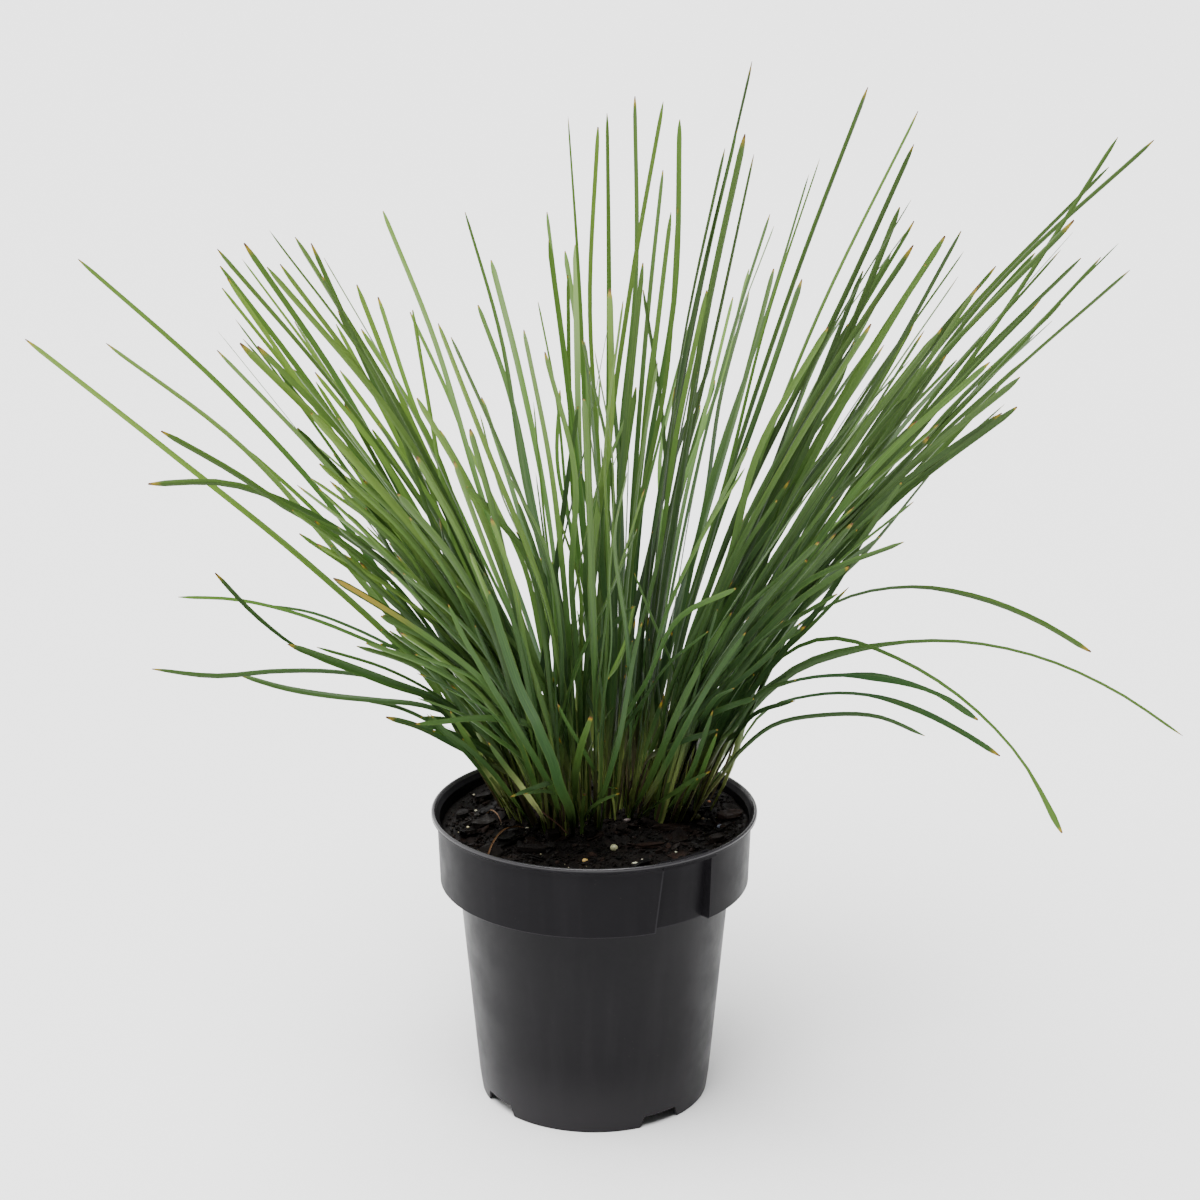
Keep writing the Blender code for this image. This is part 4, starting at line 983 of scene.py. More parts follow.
def collar_radius(height):
    """The collar's outer radius below the lip."""
    top = RIM_RADIUS - LIP_PROUD
    share = (height - COLLAR_BOTTOM) / (POT_HEIGHT - LIP_HEIGHT - COLLAR_BOTTOM)
    return mix(COLLAR_BOTTOM_RADIUS, top, share)


def panel_radius(height):
    """The label panel's outer radius."""
    share = (height - COLLAR_BOTTOM) / (RECESS_TOP - COLLAR_BOTTOM)
    return mix(PANEL_BOTTOM_RADIUS, PANEL_TOP_RADIUS, share)


def arc(centre, size, angle_from, angle_to, steps):
    """Points round an arc of the profile, with angles in degrees from outwards to upwards."""
    points = []
    for step in range(steps + 1):
        angle = radians(mix(angle_from, angle_to, step / steps))
        points.append((centre[0] + size * cos(angle), centre[1] + size * sin(angle)))
    return points


def pot_profile():
    """The pot's wall, up its inside, over its rounded lip and down its outside."""
    floor_top = FLOOR_UNDERSIDE + WALL
    step_top = COLLAR_BOTTOM + WALL
    lip_bottom = POT_HEIGHT - LIP_HEIGHT
    inner_foot = wall_radius(floor_top) - WALL
    fillet = 2.5 * MM
    lip_round = 1.1 * MM
    edge_round = 0.8 * MM
    under_lip_round = 0.5 * MM
    foot_round = 0.6 * MM
    collar_top = collar_radius(lip_bottom)
    inside = [(0, floor_top), (inner_foot - fillet, floor_top)]
    inside += arc((inner_foot - fillet, floor_top + fillet), fillet, -80, -10, 5)
    inside += [
        (BODY_TOP_RADIUS - WALL, step_top - fillet),
        (BODY_TOP_RADIUS - WALL + 0.6 * MM, step_top - 0.6 * MM),
        (BODY_TOP_RADIUS - WALL + fillet, step_top),
        (collar_radius(step_top) - WALL - fillet, step_top),
    ]
    inside += arc((collar_radius(step_top) - WALL - fillet, step_top + fillet), fillet, -80, -10, 5)
    inside += [
        (collar_top - WALL, lip_bottom - 1.2 * MM),
        (RIM_RADIUS - 2.3 * MM, POT_HEIGHT - 1.1 * MM),
    ]
    lip = arc((RIM_RADIUS - lip_round, POT_HEIGHT - lip_round), lip_round, 150, 0, 9)
    lip += arc((RIM_RADIUS - under_lip_round, lip_bottom + 0.9 * MM), under_lip_round, 0, -75, 4)
    lip += [
        (RIM_RADIUS - 1.7 * MM, lip_bottom - 0.3 * MM),
        (collar_top + 0.5 * MM, lip_bottom - 1.4 * MM),
        (collar_radius(lip_bottom - 4 * MM), lip_bottom - 4 * MM),
    ]
    edge = (COLLAR_BOTTOM_RADIUS - edge_round, COLLAR_BOTTOM + edge_round)
    outside = arc(edge, edge_round, 0, -90, 6)
    outside += [
        (BODY_TOP_RADIUS + 0.9 * MM, COLLAR_BOTTOM),
        (BODY_TOP_RADIUS + 0.2 * MM, COLLAR_BOTTOM - 0.3 * MM),
        (BODY_TOP_RADIUS - 0.1 * MM, COLLAR_BOTTOM - 1.2 * MM),
        (wall_radius(FOOT_CHAMFER), FOOT_CHAMFER),
    ]
    foot = FOOT_RADIUS - FOOT_CHAMFER_DEPTH
    outside += arc((foot - foot_round, foot_round), foot_round, 0, -90, 4)
    outside += [
        (foot - WALL, 0),
        (wall_radius(FLOOR_UNDERSIDE) - WALL - FOOT_CHAMFER_DEPTH, FLOOR_UNDERSIDE - 0.8 * MM),
        (wall_radius(FLOOR_UNDERSIDE) - WALL - 1.4 * MM, FLOOR_UNDERSIDE),
        (0, FLOOR_UNDERSIDE),
    ]
    return inside + lip + outside


def label_pocket():
    """The block that backs the label recess."""
    side = WALL / PANEL_TOP_RADIUS * 180 / pi
    bottom = COLLAR_BOTTOM + WALL / 2
    section = [
        (panel_radius(bottom) - WALL, bottom),
        (collar_radius(bottom) - WALL / 2, bottom),
        (collar_radius(POCKET_TOP) - WALL / 2, POCKET_TOP),
        (panel_radius(POCKET_TOP) - WALL, POCKET_TOP),
    ]
    return sector("label_pocket", section, RECESS_FROM - side, RECESS_TO + side, RECESS_LEAN)


def label_cuts(pot):
    """The recess in the collar, the band that bridges its top and the slot behind the band."""
    tools = [boolean(pot, label_pocket(), "UNION")]
    band_top = POT_HEIGHT - LIP_HEIGHT + BAND_OVERLAP
    band = [
        (SLOT_OUTER_RADIUS - BAND_OVERLAP, RECESS_TOP),
        (BAND_OUTER_RADIUS, RECESS_TOP),
        (BAND_OUTER_RADIUS, band_top),
        (SLOT_OUTER_RADIUS - BAND_OVERLAP, band_top),
    ]
    band_piece = sector("label_band", band, RECESS_FROM - BAND_SIDE_OVERLAP, RECESS_TO + BAND_SIDE_OVERLAP)
    tools.append(boolean(pot, band_piece, "UNION"))
    low = COLLAR_BOTTOM - CUT_PAST
    recess = [
        (panel_radius(low), low),
        (RIM_RADIUS + CUT_PAST, low),
        (RIM_RADIUS + CUT_PAST, RECESS_TOP),
        (panel_radius(RECESS_TOP), RECESS_TOP),
    ]
    cutter = sector("label_recess", recess, RECESS_FROM, RECESS_TO, RECESS_LEAN)
    tools.append(boolean(pot, cutter, "DIFFERENCE"))
    low = RECESS_TOP - CUT_PAST / 2
    high = POT_HEIGHT + CUT_PAST / 2
    slot = [
        (panel_radius(low), low),
        (SLOT_OUTER_RADIUS, low),
        (SLOT_OUTER_RADIUS, high),
        (panel_radius(low), high),
    ]
    tools.append(boolean(pot, sector("label_slot", slot, RECESS_FROM, RECESS_TO), "DIFFERENCE"))
    return tools


def foot_notch(index):
    """A cutter through the foot, wider below than above."""
    bearing = NOTCH_BEARING + 360 / NOTCH_COUNT * index
    form = bmesh.new()
    bmesh.ops.create_cube(form, size=1)
    for corner in form.verts:
        above = corner.co.z > 0
        width = NOTCH_WIDTH_ABOVE if above else NOTCH_WIDTH_BELOW
        angle = radians(bearing + width / 2 * (1 if corner.co.x > 0 else -1))
        radius = NOTCH_OUTER_RADIUS if corner.co.y > 0 else NOTCH_INNER_RADIUS
        corner.co = at_bearing(angle, radius, NOTCH_HEIGHT if above else -CUT_PAST)
    face_outwards(form)
    return form_object(f"foot_notch_{index + 1}", form)


def drain_hole(index):
    angle = 2 * pi * index / DRAIN_COUNT
    form = bmesh.new()
    bmesh.ops.create_cone(
        form,
        cap_ends=True,
        segments=DRAIN_SIDES,
        radius1=DRAIN_RADIUS,
        radius2=DRAIN_RADIUS,
        depth=4 * WALL,
    )
    middle = at_bearing(angle, DRAIN_RING_RADIUS, FLOOR_UNDERSIDE + WALL / 2)
    bmesh.ops.translate(form, verts=form.verts, vec=middle)
    return form_object(f"drain_hole_{index + 1}", form)


def make_pot():
    rough = turned("rough_pot", pot_profile())
    tools = label_cuts(rough)
    for index in range(NOTCH_COUNT):
        tools.append(boolean(rough, foot_notch(index), "DIFFERENCE"))
    for index in range(DRAIN_COUNT):
        tools.append(boolean(rough, drain_hole(index), "DIFFERENCE"))
    rounding = rough.modifiers.new("rounded_edges", "BEVEL")
    rounding.width = EDGE_ROUNDING
    rounding.segments = 2
    rounding.limit_method = "ANGLE"
    rounding.angle_limit = ROUNDED_FROM
    mesh = finished_mesh(rough)
    for thing in (rough, *tools):
        bpy.data.objects.remove(thing, do_unlink=True)
    mesh.materials.clear()
    mesh.materials.append(pot_plastic())
    mesh.shade_smooth()
    mesh.set_sharp_from_angle(angle=POT_SHARP_FROM)
    carry(add_object("moulded_pot", mesh), "pot_plastic", "pot")


# The potting mix


def ground(x, y):
    """The height of the mix at a place."""
    across = sin(x / HUMP_LENGTHS[0] + HUMP_PHASES[0])
    deep = cos(y / HUMP_LENGTHS[1] + HUMP_PHASES[1])
    ripple = RIPPLE_HEIGHT * sin(x / RIPPLE_LENGTHS[0] - y / RIPPLE_LENGTHS[1])
    return SOIL_LEVEL + HUMP_HEIGHT * across * deep + ripple + RISE * (x + y) / RISE_LENGTH


def mix_reach(bearing):
    """How far from the pot's axis the mix goes at a bearing to the right of the front."""
    in_pocket = RECESS_FROM - RECESS_LEAN < bearing < RECESS_TO + POCKET_MARGIN
    wall = panel_radius(SOIL_LEVEL) if in_pocket else collar_radius(SOIL_LEVEL)
    return wall - WALL - FIT_GAP


def rough_ground(x, y):
    """The mix's surface with its lumps and crumbs."""
    lumps = noise.noise(Vector((x, y, 0)) / LUMP_LENGTH) * LUMP_HEIGHT
    crumbs = noise.noise(Vector((x, y, 0.05)) / CRUMB_LENGTH) * CRUMB_HEIGHT
    return ground(x, y) + lumps + crumbs


def mesh_of(name, verts, faces, material, **attributes):
    """A mesh with one material and its vertices' attributes, four numbers each."""
    mesh = bpy.data.meshes.new(name)
    mesh.from_pydata(verts.tolist(), [], faces)
    for key, values in attributes.items():
        layer = mesh.attributes.new(key, "FLOAT_COLOR", "POINT")
        layer.data.foreach_set("color", np.asarray(values, dtype=np.float32).ravel())
    mesh.materials.append(material)
    return mesh


def ring_faces(start, rings, count):
    """Quads between rings of corners that are numbered one ring after another."""
    faces = []
    for low in range(start, start + (rings - 1) * count, count):
        for corner in range(count):
            after = (corner + 1) % count
            faces.append((low + corner, low + count + corner, low + count + after, low + after))
    return faces


def make_mix_body(material):
    """The mass of the mix: a crumbly top, and plain sides down to the pot's floor."""
    verts = [(0, 0, rough_ground(0, 0))]
    for ring in range(1, MIX_RINGS + 1):
        for spoke in range(MIX_SPOKES):
            bearing = 360 * spoke / MIX_SPOKES
            radius = mix_reach(bearing) * ring / MIX_RINGS
            x, y, _ = at_bearing(radians(bearing), radius, 0)
            verts.append((x, y, rough_ground(x, y)))
    floor_top = FLOOR_UNDERSIDE + WALL
    step_top = COLLAR_BOTTOM + WALL
    shell = (
        (panel_radius(step_top) - WALL - FIT_GAP, step_top + FIT_GAP),
        (BODY_TOP_RADIUS - WALL - FIT_GAP, step_top + FIT_GAP),
        (wall_radius(floor_top) - WALL - FIT_GAP, floor_top + FIT_GAP),
    )
    for radius, height in shell:
        for spoke in range(MIX_SPOKES):
            verts.append(at_bearing(2 * pi * spoke / MIX_SPOKES, radius, height))
    faces = [(0, 1 + spoke, 1 + (spoke + 1) % MIX_SPOKES) for spoke in range(MIX_SPOKES)]
    faces += ring_faces(1, MIX_RINGS + len(shell), MIX_SPOKES)
    last = 1 + (MIX_RINGS + len(shell) - 1) * MIX_SPOKES
    faces.append(tuple(reversed(range(last, last + MIX_SPOKES))))
    tones = np.zeros((len(verts), 4))
    tones[:, 0] = [0.5 + 0.5 * noise.noise(Vector(vert) / TONE_LENGTH) for vert in verts]
    tones[:, 1] = [max(0, noise.noise(Vector(vert) / WARMTH_LENGTH) - WARMTH_FROM) for vert in verts]
    mesh = mesh_of("bark_mix_body", np.array(verts), faces, material, bark_tone=tones)
    mesh.shade_smooth()
    carry(add_object("bark_mix_body", mesh), "bark_mix", "potting_mix")


def slab_template(sides, layers):
    """A flat slab of unit size: rings of corners stacked in layers, with closed ends."""
    verts = []
    for layer in range(layers):
        height = layer / (layers - 1) - 0.5
        for side in range(sides):
            angle = 2 * pi * side / sides
            verts.append((cos(angle) / 2, sin(angle) / 2, height))
    faces = [tuple(reversed(range(sides)))]
    for layer in range(layers - 1):
        start = layer * sides
        for side in range(sides):
            after = (side + 1) % sides
            faces.append((start + side, start + after, start + sides + after, start + sides + side))
    faces.append(tuple(range((layers - 1) * sides, layers * sides)))
    return np.array(verts), faces


def ball_template(subdivisions):
    """A unit icosphere's corners and faces."""
    form = bmesh.new()
    bmesh.ops.create_icosphere(form, subdivisions=subdivisions, radius=0.5)
    verts = np.array([tuple(vert.co) for vert in form.verts])
    faces = [tuple(vert.index for vert in face.verts) for face in form.faces]
    form.free()
    return verts, faces


def turn_about_z(angle):
    return np.array(((cos(angle), -sin(angle), 0), (sin(angle), cos(angle), 0), (0, 0, 1)))


def random_turn(generator, tilt):
    """A turn about Z by any angle, after tilts about X and Y by up to the given angle."""
    a, b = generator.uniform(-tilt, tilt, 2)
    about_z = turn_about_z(generator.uniform(0, 2 * pi))
    about_x = np.array(((1, 0, 0), (0, cos(a), -sin(a)), (0, sin(a), cos(a))))
    about_y = np.array(((cos(b), 0, sin(b)), (0, 1, 0), (-sin(b), 0, cos(b))))
    return about_z @ about_y @ about_x


class Scatter:
    """Many small pieces gathered into one mesh."""

    def __init__(self, generator):
        self.generator = generator
        self.verts = []
        self.faces = []
        self.tones = []
        self.count = 0

    def ragged(self, corners, jitter):
        return corners * (1 + self.generator.normal(0, jitter, corners.shape))

    def gather(self, verts, faces, tone):
        self.verts.append(verts)
        self.faces += [tuple(index + self.count for index in face) for face in faces]
        self.tones.append(np.tile(tone, (len(verts), 1)))
        self.count += len(verts)

    def add(self, template, place, size, tilt, jitter, tone):
        """Adds one piece at a place, turned at random."""
        corners, faces = template
        made = self.ragged(corners, jitter) * size
        turn = random_turn(self.generator, tilt)
        self.gather(made @ turn.T + np.array(place), faces, tone)

    def lay(self, template, mark, size, bearing, jitter, tone):
        """Lays one piece flat on the mix where it shows in the front view, with its size in millimetres."""
        corners, faces = template
        spot = seen_on_ground(*mark)
        made = self.ragged(corners, jitter) * np.array(size) * MM
        turn = turn_about_z(radians(bearing))
        height = ground(spot.x, spot.y) + size[2] * MM * 0.5 + LAID_PROUD
        self.gather(made @ turn.T + np.array((spot.x, spot.y, height)), faces, tone)

    def finish(self, name, material):
        """Makes the piece of bark mix that the small pieces are gathered in."""
        tones = np.vstack(self.tones)
        mesh = mesh_of(name, np.vstack(self.verts), self.faces, material, bark_tone=tones)
        carry(add_object(name, mesh), "bark_mix")


def in_crown(x, y, margin):
    """Whether a place is among the shoots."""
    across = (x - CROWN_CENTRE.x) / (CROWN_ACROSS + margin)
    deep = (y - CROWN_CENTRE.y) / (CROWN_DEEP + margin)
    return across**2 + deep**2 < 1


def random_place(generator, reach):
    """An even choice of place on the disc of the mix."""
    radius = reach * sqrt(generator.uniform())
    angle = generator.uniform(0, 2 * pi)
    return radius * cos(angle), radius * sin(angle)


def add_chips(chips, slab, generator):
    for _ in range(CHIP_COUNT):
        x, y = random_place(generator, CHIP_REACH)
        if in_crown(x, y, CHIP_CROWN_MARGIN):
            continue
        length = generator.uniform(*CHIP_LENGTH) * generator.uniform(*CHIP_STRETCH)
        width = length * generator.uniform(*CHIP_WIDTH_SHARE)
        thickness = generator.uniform(*CHIP_THICKNESS)
        tone = (generator.beta(*LIGHTNESS), generator.beta(*CHIP_WARMTH), generator.uniform(), 0)
        height = ground(x, y) + generator.uniform(*CHIP_LIFT)
        chips.add(slab, (x, y, height), (length, width, thickness), CHIP_TILT, CHIP_JITTER, tone)


def add_crumbs(crumbs, ball, generator):
    for _ in range(CRUMB_COUNT):
        x, y = random_place(generator, CRUMB_REACH)
        bearing = np.degrees(atan2(x, -y))
        if sqrt(x * x + y * y) > mix_reach(bearing) - CRUMB_WALL_MARGIN:
            continue
        size = generator.uniform(*CRUMB_SIZE) * generator.uniform(*CRUMB_STRETCH, 3)
        pale = 0.0
        if generator.uniform() < SPECK_SHARE:
            size = size * SPECK_SIZE
            pale = generator.uniform(*SPECK_PALENESS)
        tone = (generator.beta(*LIGHTNESS), generator.beta(*CRUMB_WARMTH), generator.uniform(), pale)
        height = rough_ground(x, y) + size[2] * CRUMB_RAISED
        crumbs.add(ball, (x, y, height), size, pi, CRUMB_JITTER, tone)


def make_bark_pieces(material):
    """Chips, slivers and crumbs on the mix, with a few pale specks."""
    generator = np.random.default_rng(LOOK_SEED)
    slab = slab_template(SLAB_SIDES, SLAB_LAYERS)
    chips = Scatter(generator)
    add_chips(chips, slab, generator)
    chips.finish("bark_chips", material)
    crumbs = Scatter(generator)
    add_crumbs(crumbs, ball_template(CRUMB_SUBDIVISIONS), generator)
    crumbs.finish("bark_crumbs", material)
    slabs = Scatter(generator)
    for mark, size, bearing, tone in BARK_SLABS:
        slabs.lay(slab, mark, size, bearing, SLAB_JITTER, tone)
    slabs.finish("bark_slabs", material)
    grains = Scatter(generator)
    for mark, size, bearing, colour in GRAINS:
        grains.lay(ball_template(GRAIN_SUBDIVISIONS), mark, size, bearing, GRAIN_JITTER, (*colour, 1))
    grains.finish("grains", grain_material())


# Where leaves go


def seen(across, down, behind):
    """The point at a given distance behind the pot's axis that shows at this place in the front view."""
    forward = Vector((0, cos(VIEW_TILT), -sin(VIEW_TILT)))
    upward = Vector((0, sin(VIEW_TILT), cos(VIEW_TILT)))
    ray = forward + upward * ((VIEW_CENTRE - down) / VIEW_FOCAL)
    ray.x = (across - VIEW_CENTRE) / VIEW_FOCAL
    return VIEW_EYE + ray * ((behind - VIEW_EYE.y) / ray.y)


def seen_on_ground(across, down):
    """The point at soil level that shows at this place in the front view."""
    near = seen(across, down, 0)
    ray = near - VIEW_EYE
    return VIEW_EYE + ray * ((SOIL_LEVEL - VIEW_EYE.z) / ray.z)


def leaf_marks(leaf):
    """The leaf's points in the front view, from its tip inwards."""
    return leaf if isinstance(leaf[0], tuple) else (leaf,)


def shoot_tip(shoot):
    """The middle of the shoot's tips."""
    tips = [leaf_marks(leaf)[0] for leaf in shoot.leaves]
    across = sum(tip[0] for tip in tips) / len(tips)
    down = sum(tip[1] for tip in tips) / len(tips)
    return seen(across, down, shoot.behind)


def crown_places():
    """A root for each shoot: the further its leaves lean out, the nearer it is to the crown's edge."""
    places = []
    for shoot in SHOOTS:
        if shoot.name in ROOT_MARKS:
            place = seen_on_ground(*ROOT_MARKS[shoot.name]) - CROWN_CENTRE
            places.append((place.x, place.y))
            continue
        lean = shoot_tip(shoot) - CROWN_CENTRE
        reach = sqrt(lean.x**2 + lean.y**2)
        share = min(1, atan2(reach, lean.z - SOIL_LEVEL) / CROWN_EDGE_LEAN)
        angle = atan2(lean.y, lean.x)
        places.append((CROWN_ACROSS * share * cos(angle), CROWN_DEEP * share * sin(angle)))
    places = np.array(places)
    marked = np.array([shoot.name in ROOT_MARKS for shoot in SHOOTS])
    ease = np.where(marked, MARKED_EASE, SPREADING_EASE)[:, None]
    limits = np.array((CROWN_ACROSS, CROWN_DEEP))
    for _ in range(SPREADING_ROUNDS):
        gaps = places[:, None, :] - places[None, :, :]
        apart = np.linalg.norm(gaps, axis=2) + 1e-9
        push = np.clip(SHOOT_SPACING - apart, 0, None)
        np.fill_diagonal(push, 0)
        places = places + ease * (gaps / apart[:, :, None] * push[:, :, None]).sum(axis=1)
        out = np.linalg.norm(places / limits, axis=1)
        out[marked] = 1
        places = places / np.clip(out, 1, None)[:, None]
    return [Vector((x + CROWN_CENTRE.x, y + CROWN_CENTRE.y, 0)) for x, y in places]


def smooth_curve(points, shares):
    """Places at the given shares of the way along a smooth curve through the points."""
    points = np.array([tuple(point) for point in points])
    ends = np.vstack([2 * points[0] - points[1], points, 2 * points[-1] - points[-2]])
    t = np.linspace(0, 1, CURVE_STEPS, endpoint=False)[:, None]
    stretches = []
    for a, b, c, d in zip(ends, ends[1:], ends[2:], ends[3:]):
        curve = b * 2 + (c - a) * t + (a * 2 - b * 5 + c * 4 - d) * t**2
        stretches.append((curve + (b * 3 - a - c * 3 + d) * t**3) * 0.5)
    fine = np.vstack([*stretches, points[-1]])
    steps = np.linalg.norm(np.diff(fine, axis=0), axis=1)
    lengths = np.concatenate([[0], np.cumsum(steps)])
    wanted = np.asarray(shares) * lengths[-1]
    found = np.stack([np.interp(wanted, lengths, fine[:, axis]) for axis in range(3)], axis=1)
    return found, wanted


def arched(root, tip, bow_scale=1.0):
    """Ring centres of a plain leaf, which bows up from the straight line to its tip."""
    line = tip - root
    length = line.length
    heading = line.normalized()
    bow = Vector((0, 0, 1)) - heading * heading.z
    flat = sqrt(max(0, 1 - heading.z**2))
    rise = Vector()
    if flat > UPRIGHT_LIMIT:
        rise = bow.normalized() * length * (BOW_UPRIGHT + BOW_LEVEL * flat**2) * bow_scale
    near = root + line * BOW_PLACES[0] + rise
    far = root + line * BOW_PLACES[1] + rise * BOW_FAR_SHARE
    rings = []
    for t in RING_PLACES:
        inner = root * (1 - t) ** 3 + near * 3 * t * (1 - t) ** 2
        outer = far * 3 * t**2 * (1 - t) + tip * t**3
        rings.append(inner + outer)
    return rings


def bent(root, marks, depth):
    """Ring centres of a leaf that follows its marks, going steadily from its root's depth to its tip's."""
    chain = [root]
    inward = list(reversed(marks))
    for i, (across, down) in enumerate(inward):
        share = ((i + 1) / len(inward)) ** BEND_EASE
        chain.append(seen(across, down, mix(root.y, depth, share)))
    count = len(marks) + 1
    places, _ = smooth_curve(chain, [i / count for i in range(count + 1)])
    return [Vector(place) for place in places]


class Leaf:
    """A leaf on its way to a blade: its shoot's number, its ring centres, and how it is treated."""

    def __init__(self, shoot, rings, bent=False, listed=False, shows=EVEN_SHOW):
        self.shoot = shoot
        self.rings = rings
        self.bent = bent
        self.listed = listed
        self.shows = shows


def sheath_top(shoot, root):
    """Where the shoot's leaves part from their sheath, and where it stands on the ground."""
    stand = Vector((root.x, root.y, ground(root.x, root.y)))
    lean = shoot_tip(shoot) - stand
    axis = (lean.normalized() + Vector((0, 0, SHEATH_UPRIGHTNESS))).normalized()
    height = STUB_SHEATH_HEIGHT if shoot.name == STUB_NAME else SHEATH_HEIGHT
    return stand + axis * height, stand


def place_leaves(roots):
    """Every listed leaf's ring centres, before the leaves part around one another."""
    leaves = []
    for number, (shoot, root) in enumerate(zip(SHOOTS, roots)):
        top, _ = sheath_top(shoot, root)
        spread = len(shoot.leaves) - 1
        for index, leaf in enumerate(shoot.leaves):
            marks = leaf_marks(leaf)
            is_bent = len(marks) > 1
            depth = shoot.behind + (index - spread / 2) * TIP_STAGGER
            rings = bent(top, marks, depth) if is_bent else arched(top, seen(*marks[0], depth))
            shows = BENT_SHOWS.get((shoot.name, index), EVEN_SHOW)
            leaves.append(Leaf(number, rings, is_bent, True, shows))
    return leaves


def closest_points(a, b, c, d):
    """Shares along segments a-b and c-d where each pair comes closest, and the gap vector between them."""
    first = b - a
    second = d - c
    between = a - c
    aa = (first * first).sum(1)
    bb = (second * second).sum(1)
    ab = (first * second).sum(1)
    fa = (first * between).sum(1)
    fb = (second * between).sum(1)
    denominator = aa * bb - ab * ab
    s = np.where(denominator > 1e-12, (ab * fb - fa * bb) / np.maximum(denominator, 1e-12), 0.5)
    s = np.clip(s, 0, 1)
    t = np.clip((ab * s + fb) / bb, 0, 1)
    s = np.clip((ab * t - fa) / aa, 0, 1)
    gap = (a + first * s[:, None]) - (c + second * t[:, None])
    return s, t, gap


def part_leaves(leaves, room, rounds, listed_move):
    """Moves ring centres until no leaf runs through another. Roots stay, and tips only move in depth."""
    counts = [len(leaf.rings) for leaf in leaves]
    ends = np.cumsum(counts) - 1
    points = np.array([tuple(ring) for leaf in leaves for ring in leaf.rings])
    home = points
    owner = np.repeat(np.arange(len(leaves)), [count - 1 for count in counts])
    rung = np.concatenate([np.arange(count - 1) for count in counts])
    start = np.concatenate([np.arange(end - count + 1, end) for end, count in zip(ends, counts)])
    shoot = np.array([leaf.shoot for leaf in leaves])[owner]
    listed = np.array([leaf.listed for leaf in leaves])[owner]
    one, two = np.triu_indices(len(owner), 1)
    middles = (points[start] + points[start + 1]) / 2
    near = (np.abs(middles[one] - middles[two]) < PARTING_REACH).all(axis=1)
    one, two = one[near], two[near]
    sisters_in_sheath = (shoot[one] == shoot[two]) & ((rung[one] == 0) | (rung[two] == 0))
    keep = (owner[one] != owner[two]) & ~sisters_in_sheath
    if not listed_move:
        keep &= ~(listed[one] & listed[two])
    one, two = one[keep], two[keep]
    ray = points - np.array(VIEW_EYE)
    ray = ray / np.linalg.norm(ray, axis=1)[:, None]
    in_depth_only = np.repeat([leaf.bent for leaf in leaves], counts)
    in_depth_only[ends] = True
    still = np.repeat([leaf.listed and not listed_move for leaf in leaves], counts)
    still[start[rung == 0]] = True
    for turn in range(rounds):
        a, b = points[start[one]], points[start[one] + 1]
        c, d = points[start[two]], points[start[two] + 1]
        s, t, gap = closest_points(a, b, c, d)
        apart = np.linalg.norm(gap, axis=1)
        short = apart < room
        if not short.any():
            break
        first, second = one[short], two[short]
        s, t, gap, apart = s[short], t[short], gap[short], apart[short]
        side = np.where(apart[:, None] > 1e-7, gap / np.maximum(apart, 1e-7)[:, None], (1, 0, 0))
        push = side * ((room * PARTING_MARGIN - apart) / 2)[:, None]
        move = np.zeros_like(points)
        weight = np.zeros(len(points))
        for segment, share, sign in ((first, s, 1), (second, t, -1)):
            for offset, portion in ((0, 1 - share), (1, share)):
                at = start[segment] + offset
                np.add.at(move, at, sign * push * portion[:, None])
                np.add.at(weight, at, portion)
        move = move / np.maximum(weight, 1)[:, None] * PARTING_STEP
        along = (move * ray).sum(1)[:, None] * ray
        move[in_depth_only] = along[in_depth_only] * TIP_STEP
        move[still] = 0
        points = points + move
        if turn < HOMING_ROUNDS and listed_move:
            points = points + (home - points) * HOMING_SHARE
    for leaf, count, end in zip(leaves, counts, ends):
        leaf.rings = [Vector(point) for point in points[end - count + 1 : end + 1]]


def settle_layers(leaves, root, outward):
    """Orders a shoot's leaves from the inside out, and keeps their first rings apart in that order."""
    leaves.sort(key=lambda leaf: (leaf.rings[1] - root).dot(outward))
    for _ in range(LAYER_ROUNDS):
        for inner, outer in zip(leaves, leaves[1:]):
            gap = (outer.rings[1] - inner.rings[1]).dot(outward)
            if gap < LAYER_ROOM:
                shift = outward * (LAYER_ROOM - gap) / 2
                outer.rings[1] = outer.rings[1] + shift
                inner.rings[1] = inner.rings[1] - shift


def shoot_outward(leaves, root):
    """The level direction that a shoot's leaves lean in."""
    tips = sum((leaf.rings[-1] for leaf in leaves), Vector()) / len(leaves)
    flat = Vector((tips.x - root.x, tips.y - root.y, 0))
    return flat.normalized() if flat.length > PLAIN_LEAN else Vector((0, -1, 0))


def leaves_of(leaves, number):
    return [leaf for leaf in leaves if leaf.shoot == number]


def fan_directions(leaves, roots):
    """For each shoot, the level direction that its leaves are stacked in."""
    generator = np.random.default_rng(FILLER_SEED)
    found = []
    for number, root in enumerate(roots):
        outward = shoot_outward(leaves_of(leaves, number), root)
        angle = atan2(outward.y, outward.x) + generator.uniform(-FAN_TURN, FAN_TURN)
        if SHOOTS[number].name in ROOT_MARKS:
            angle = generator.uniform(-FRONT_FAN_TURN, FRONT_FAN_TURN)
        found.append(Vector((cos(angle), sin(angle), 0)))
    return found


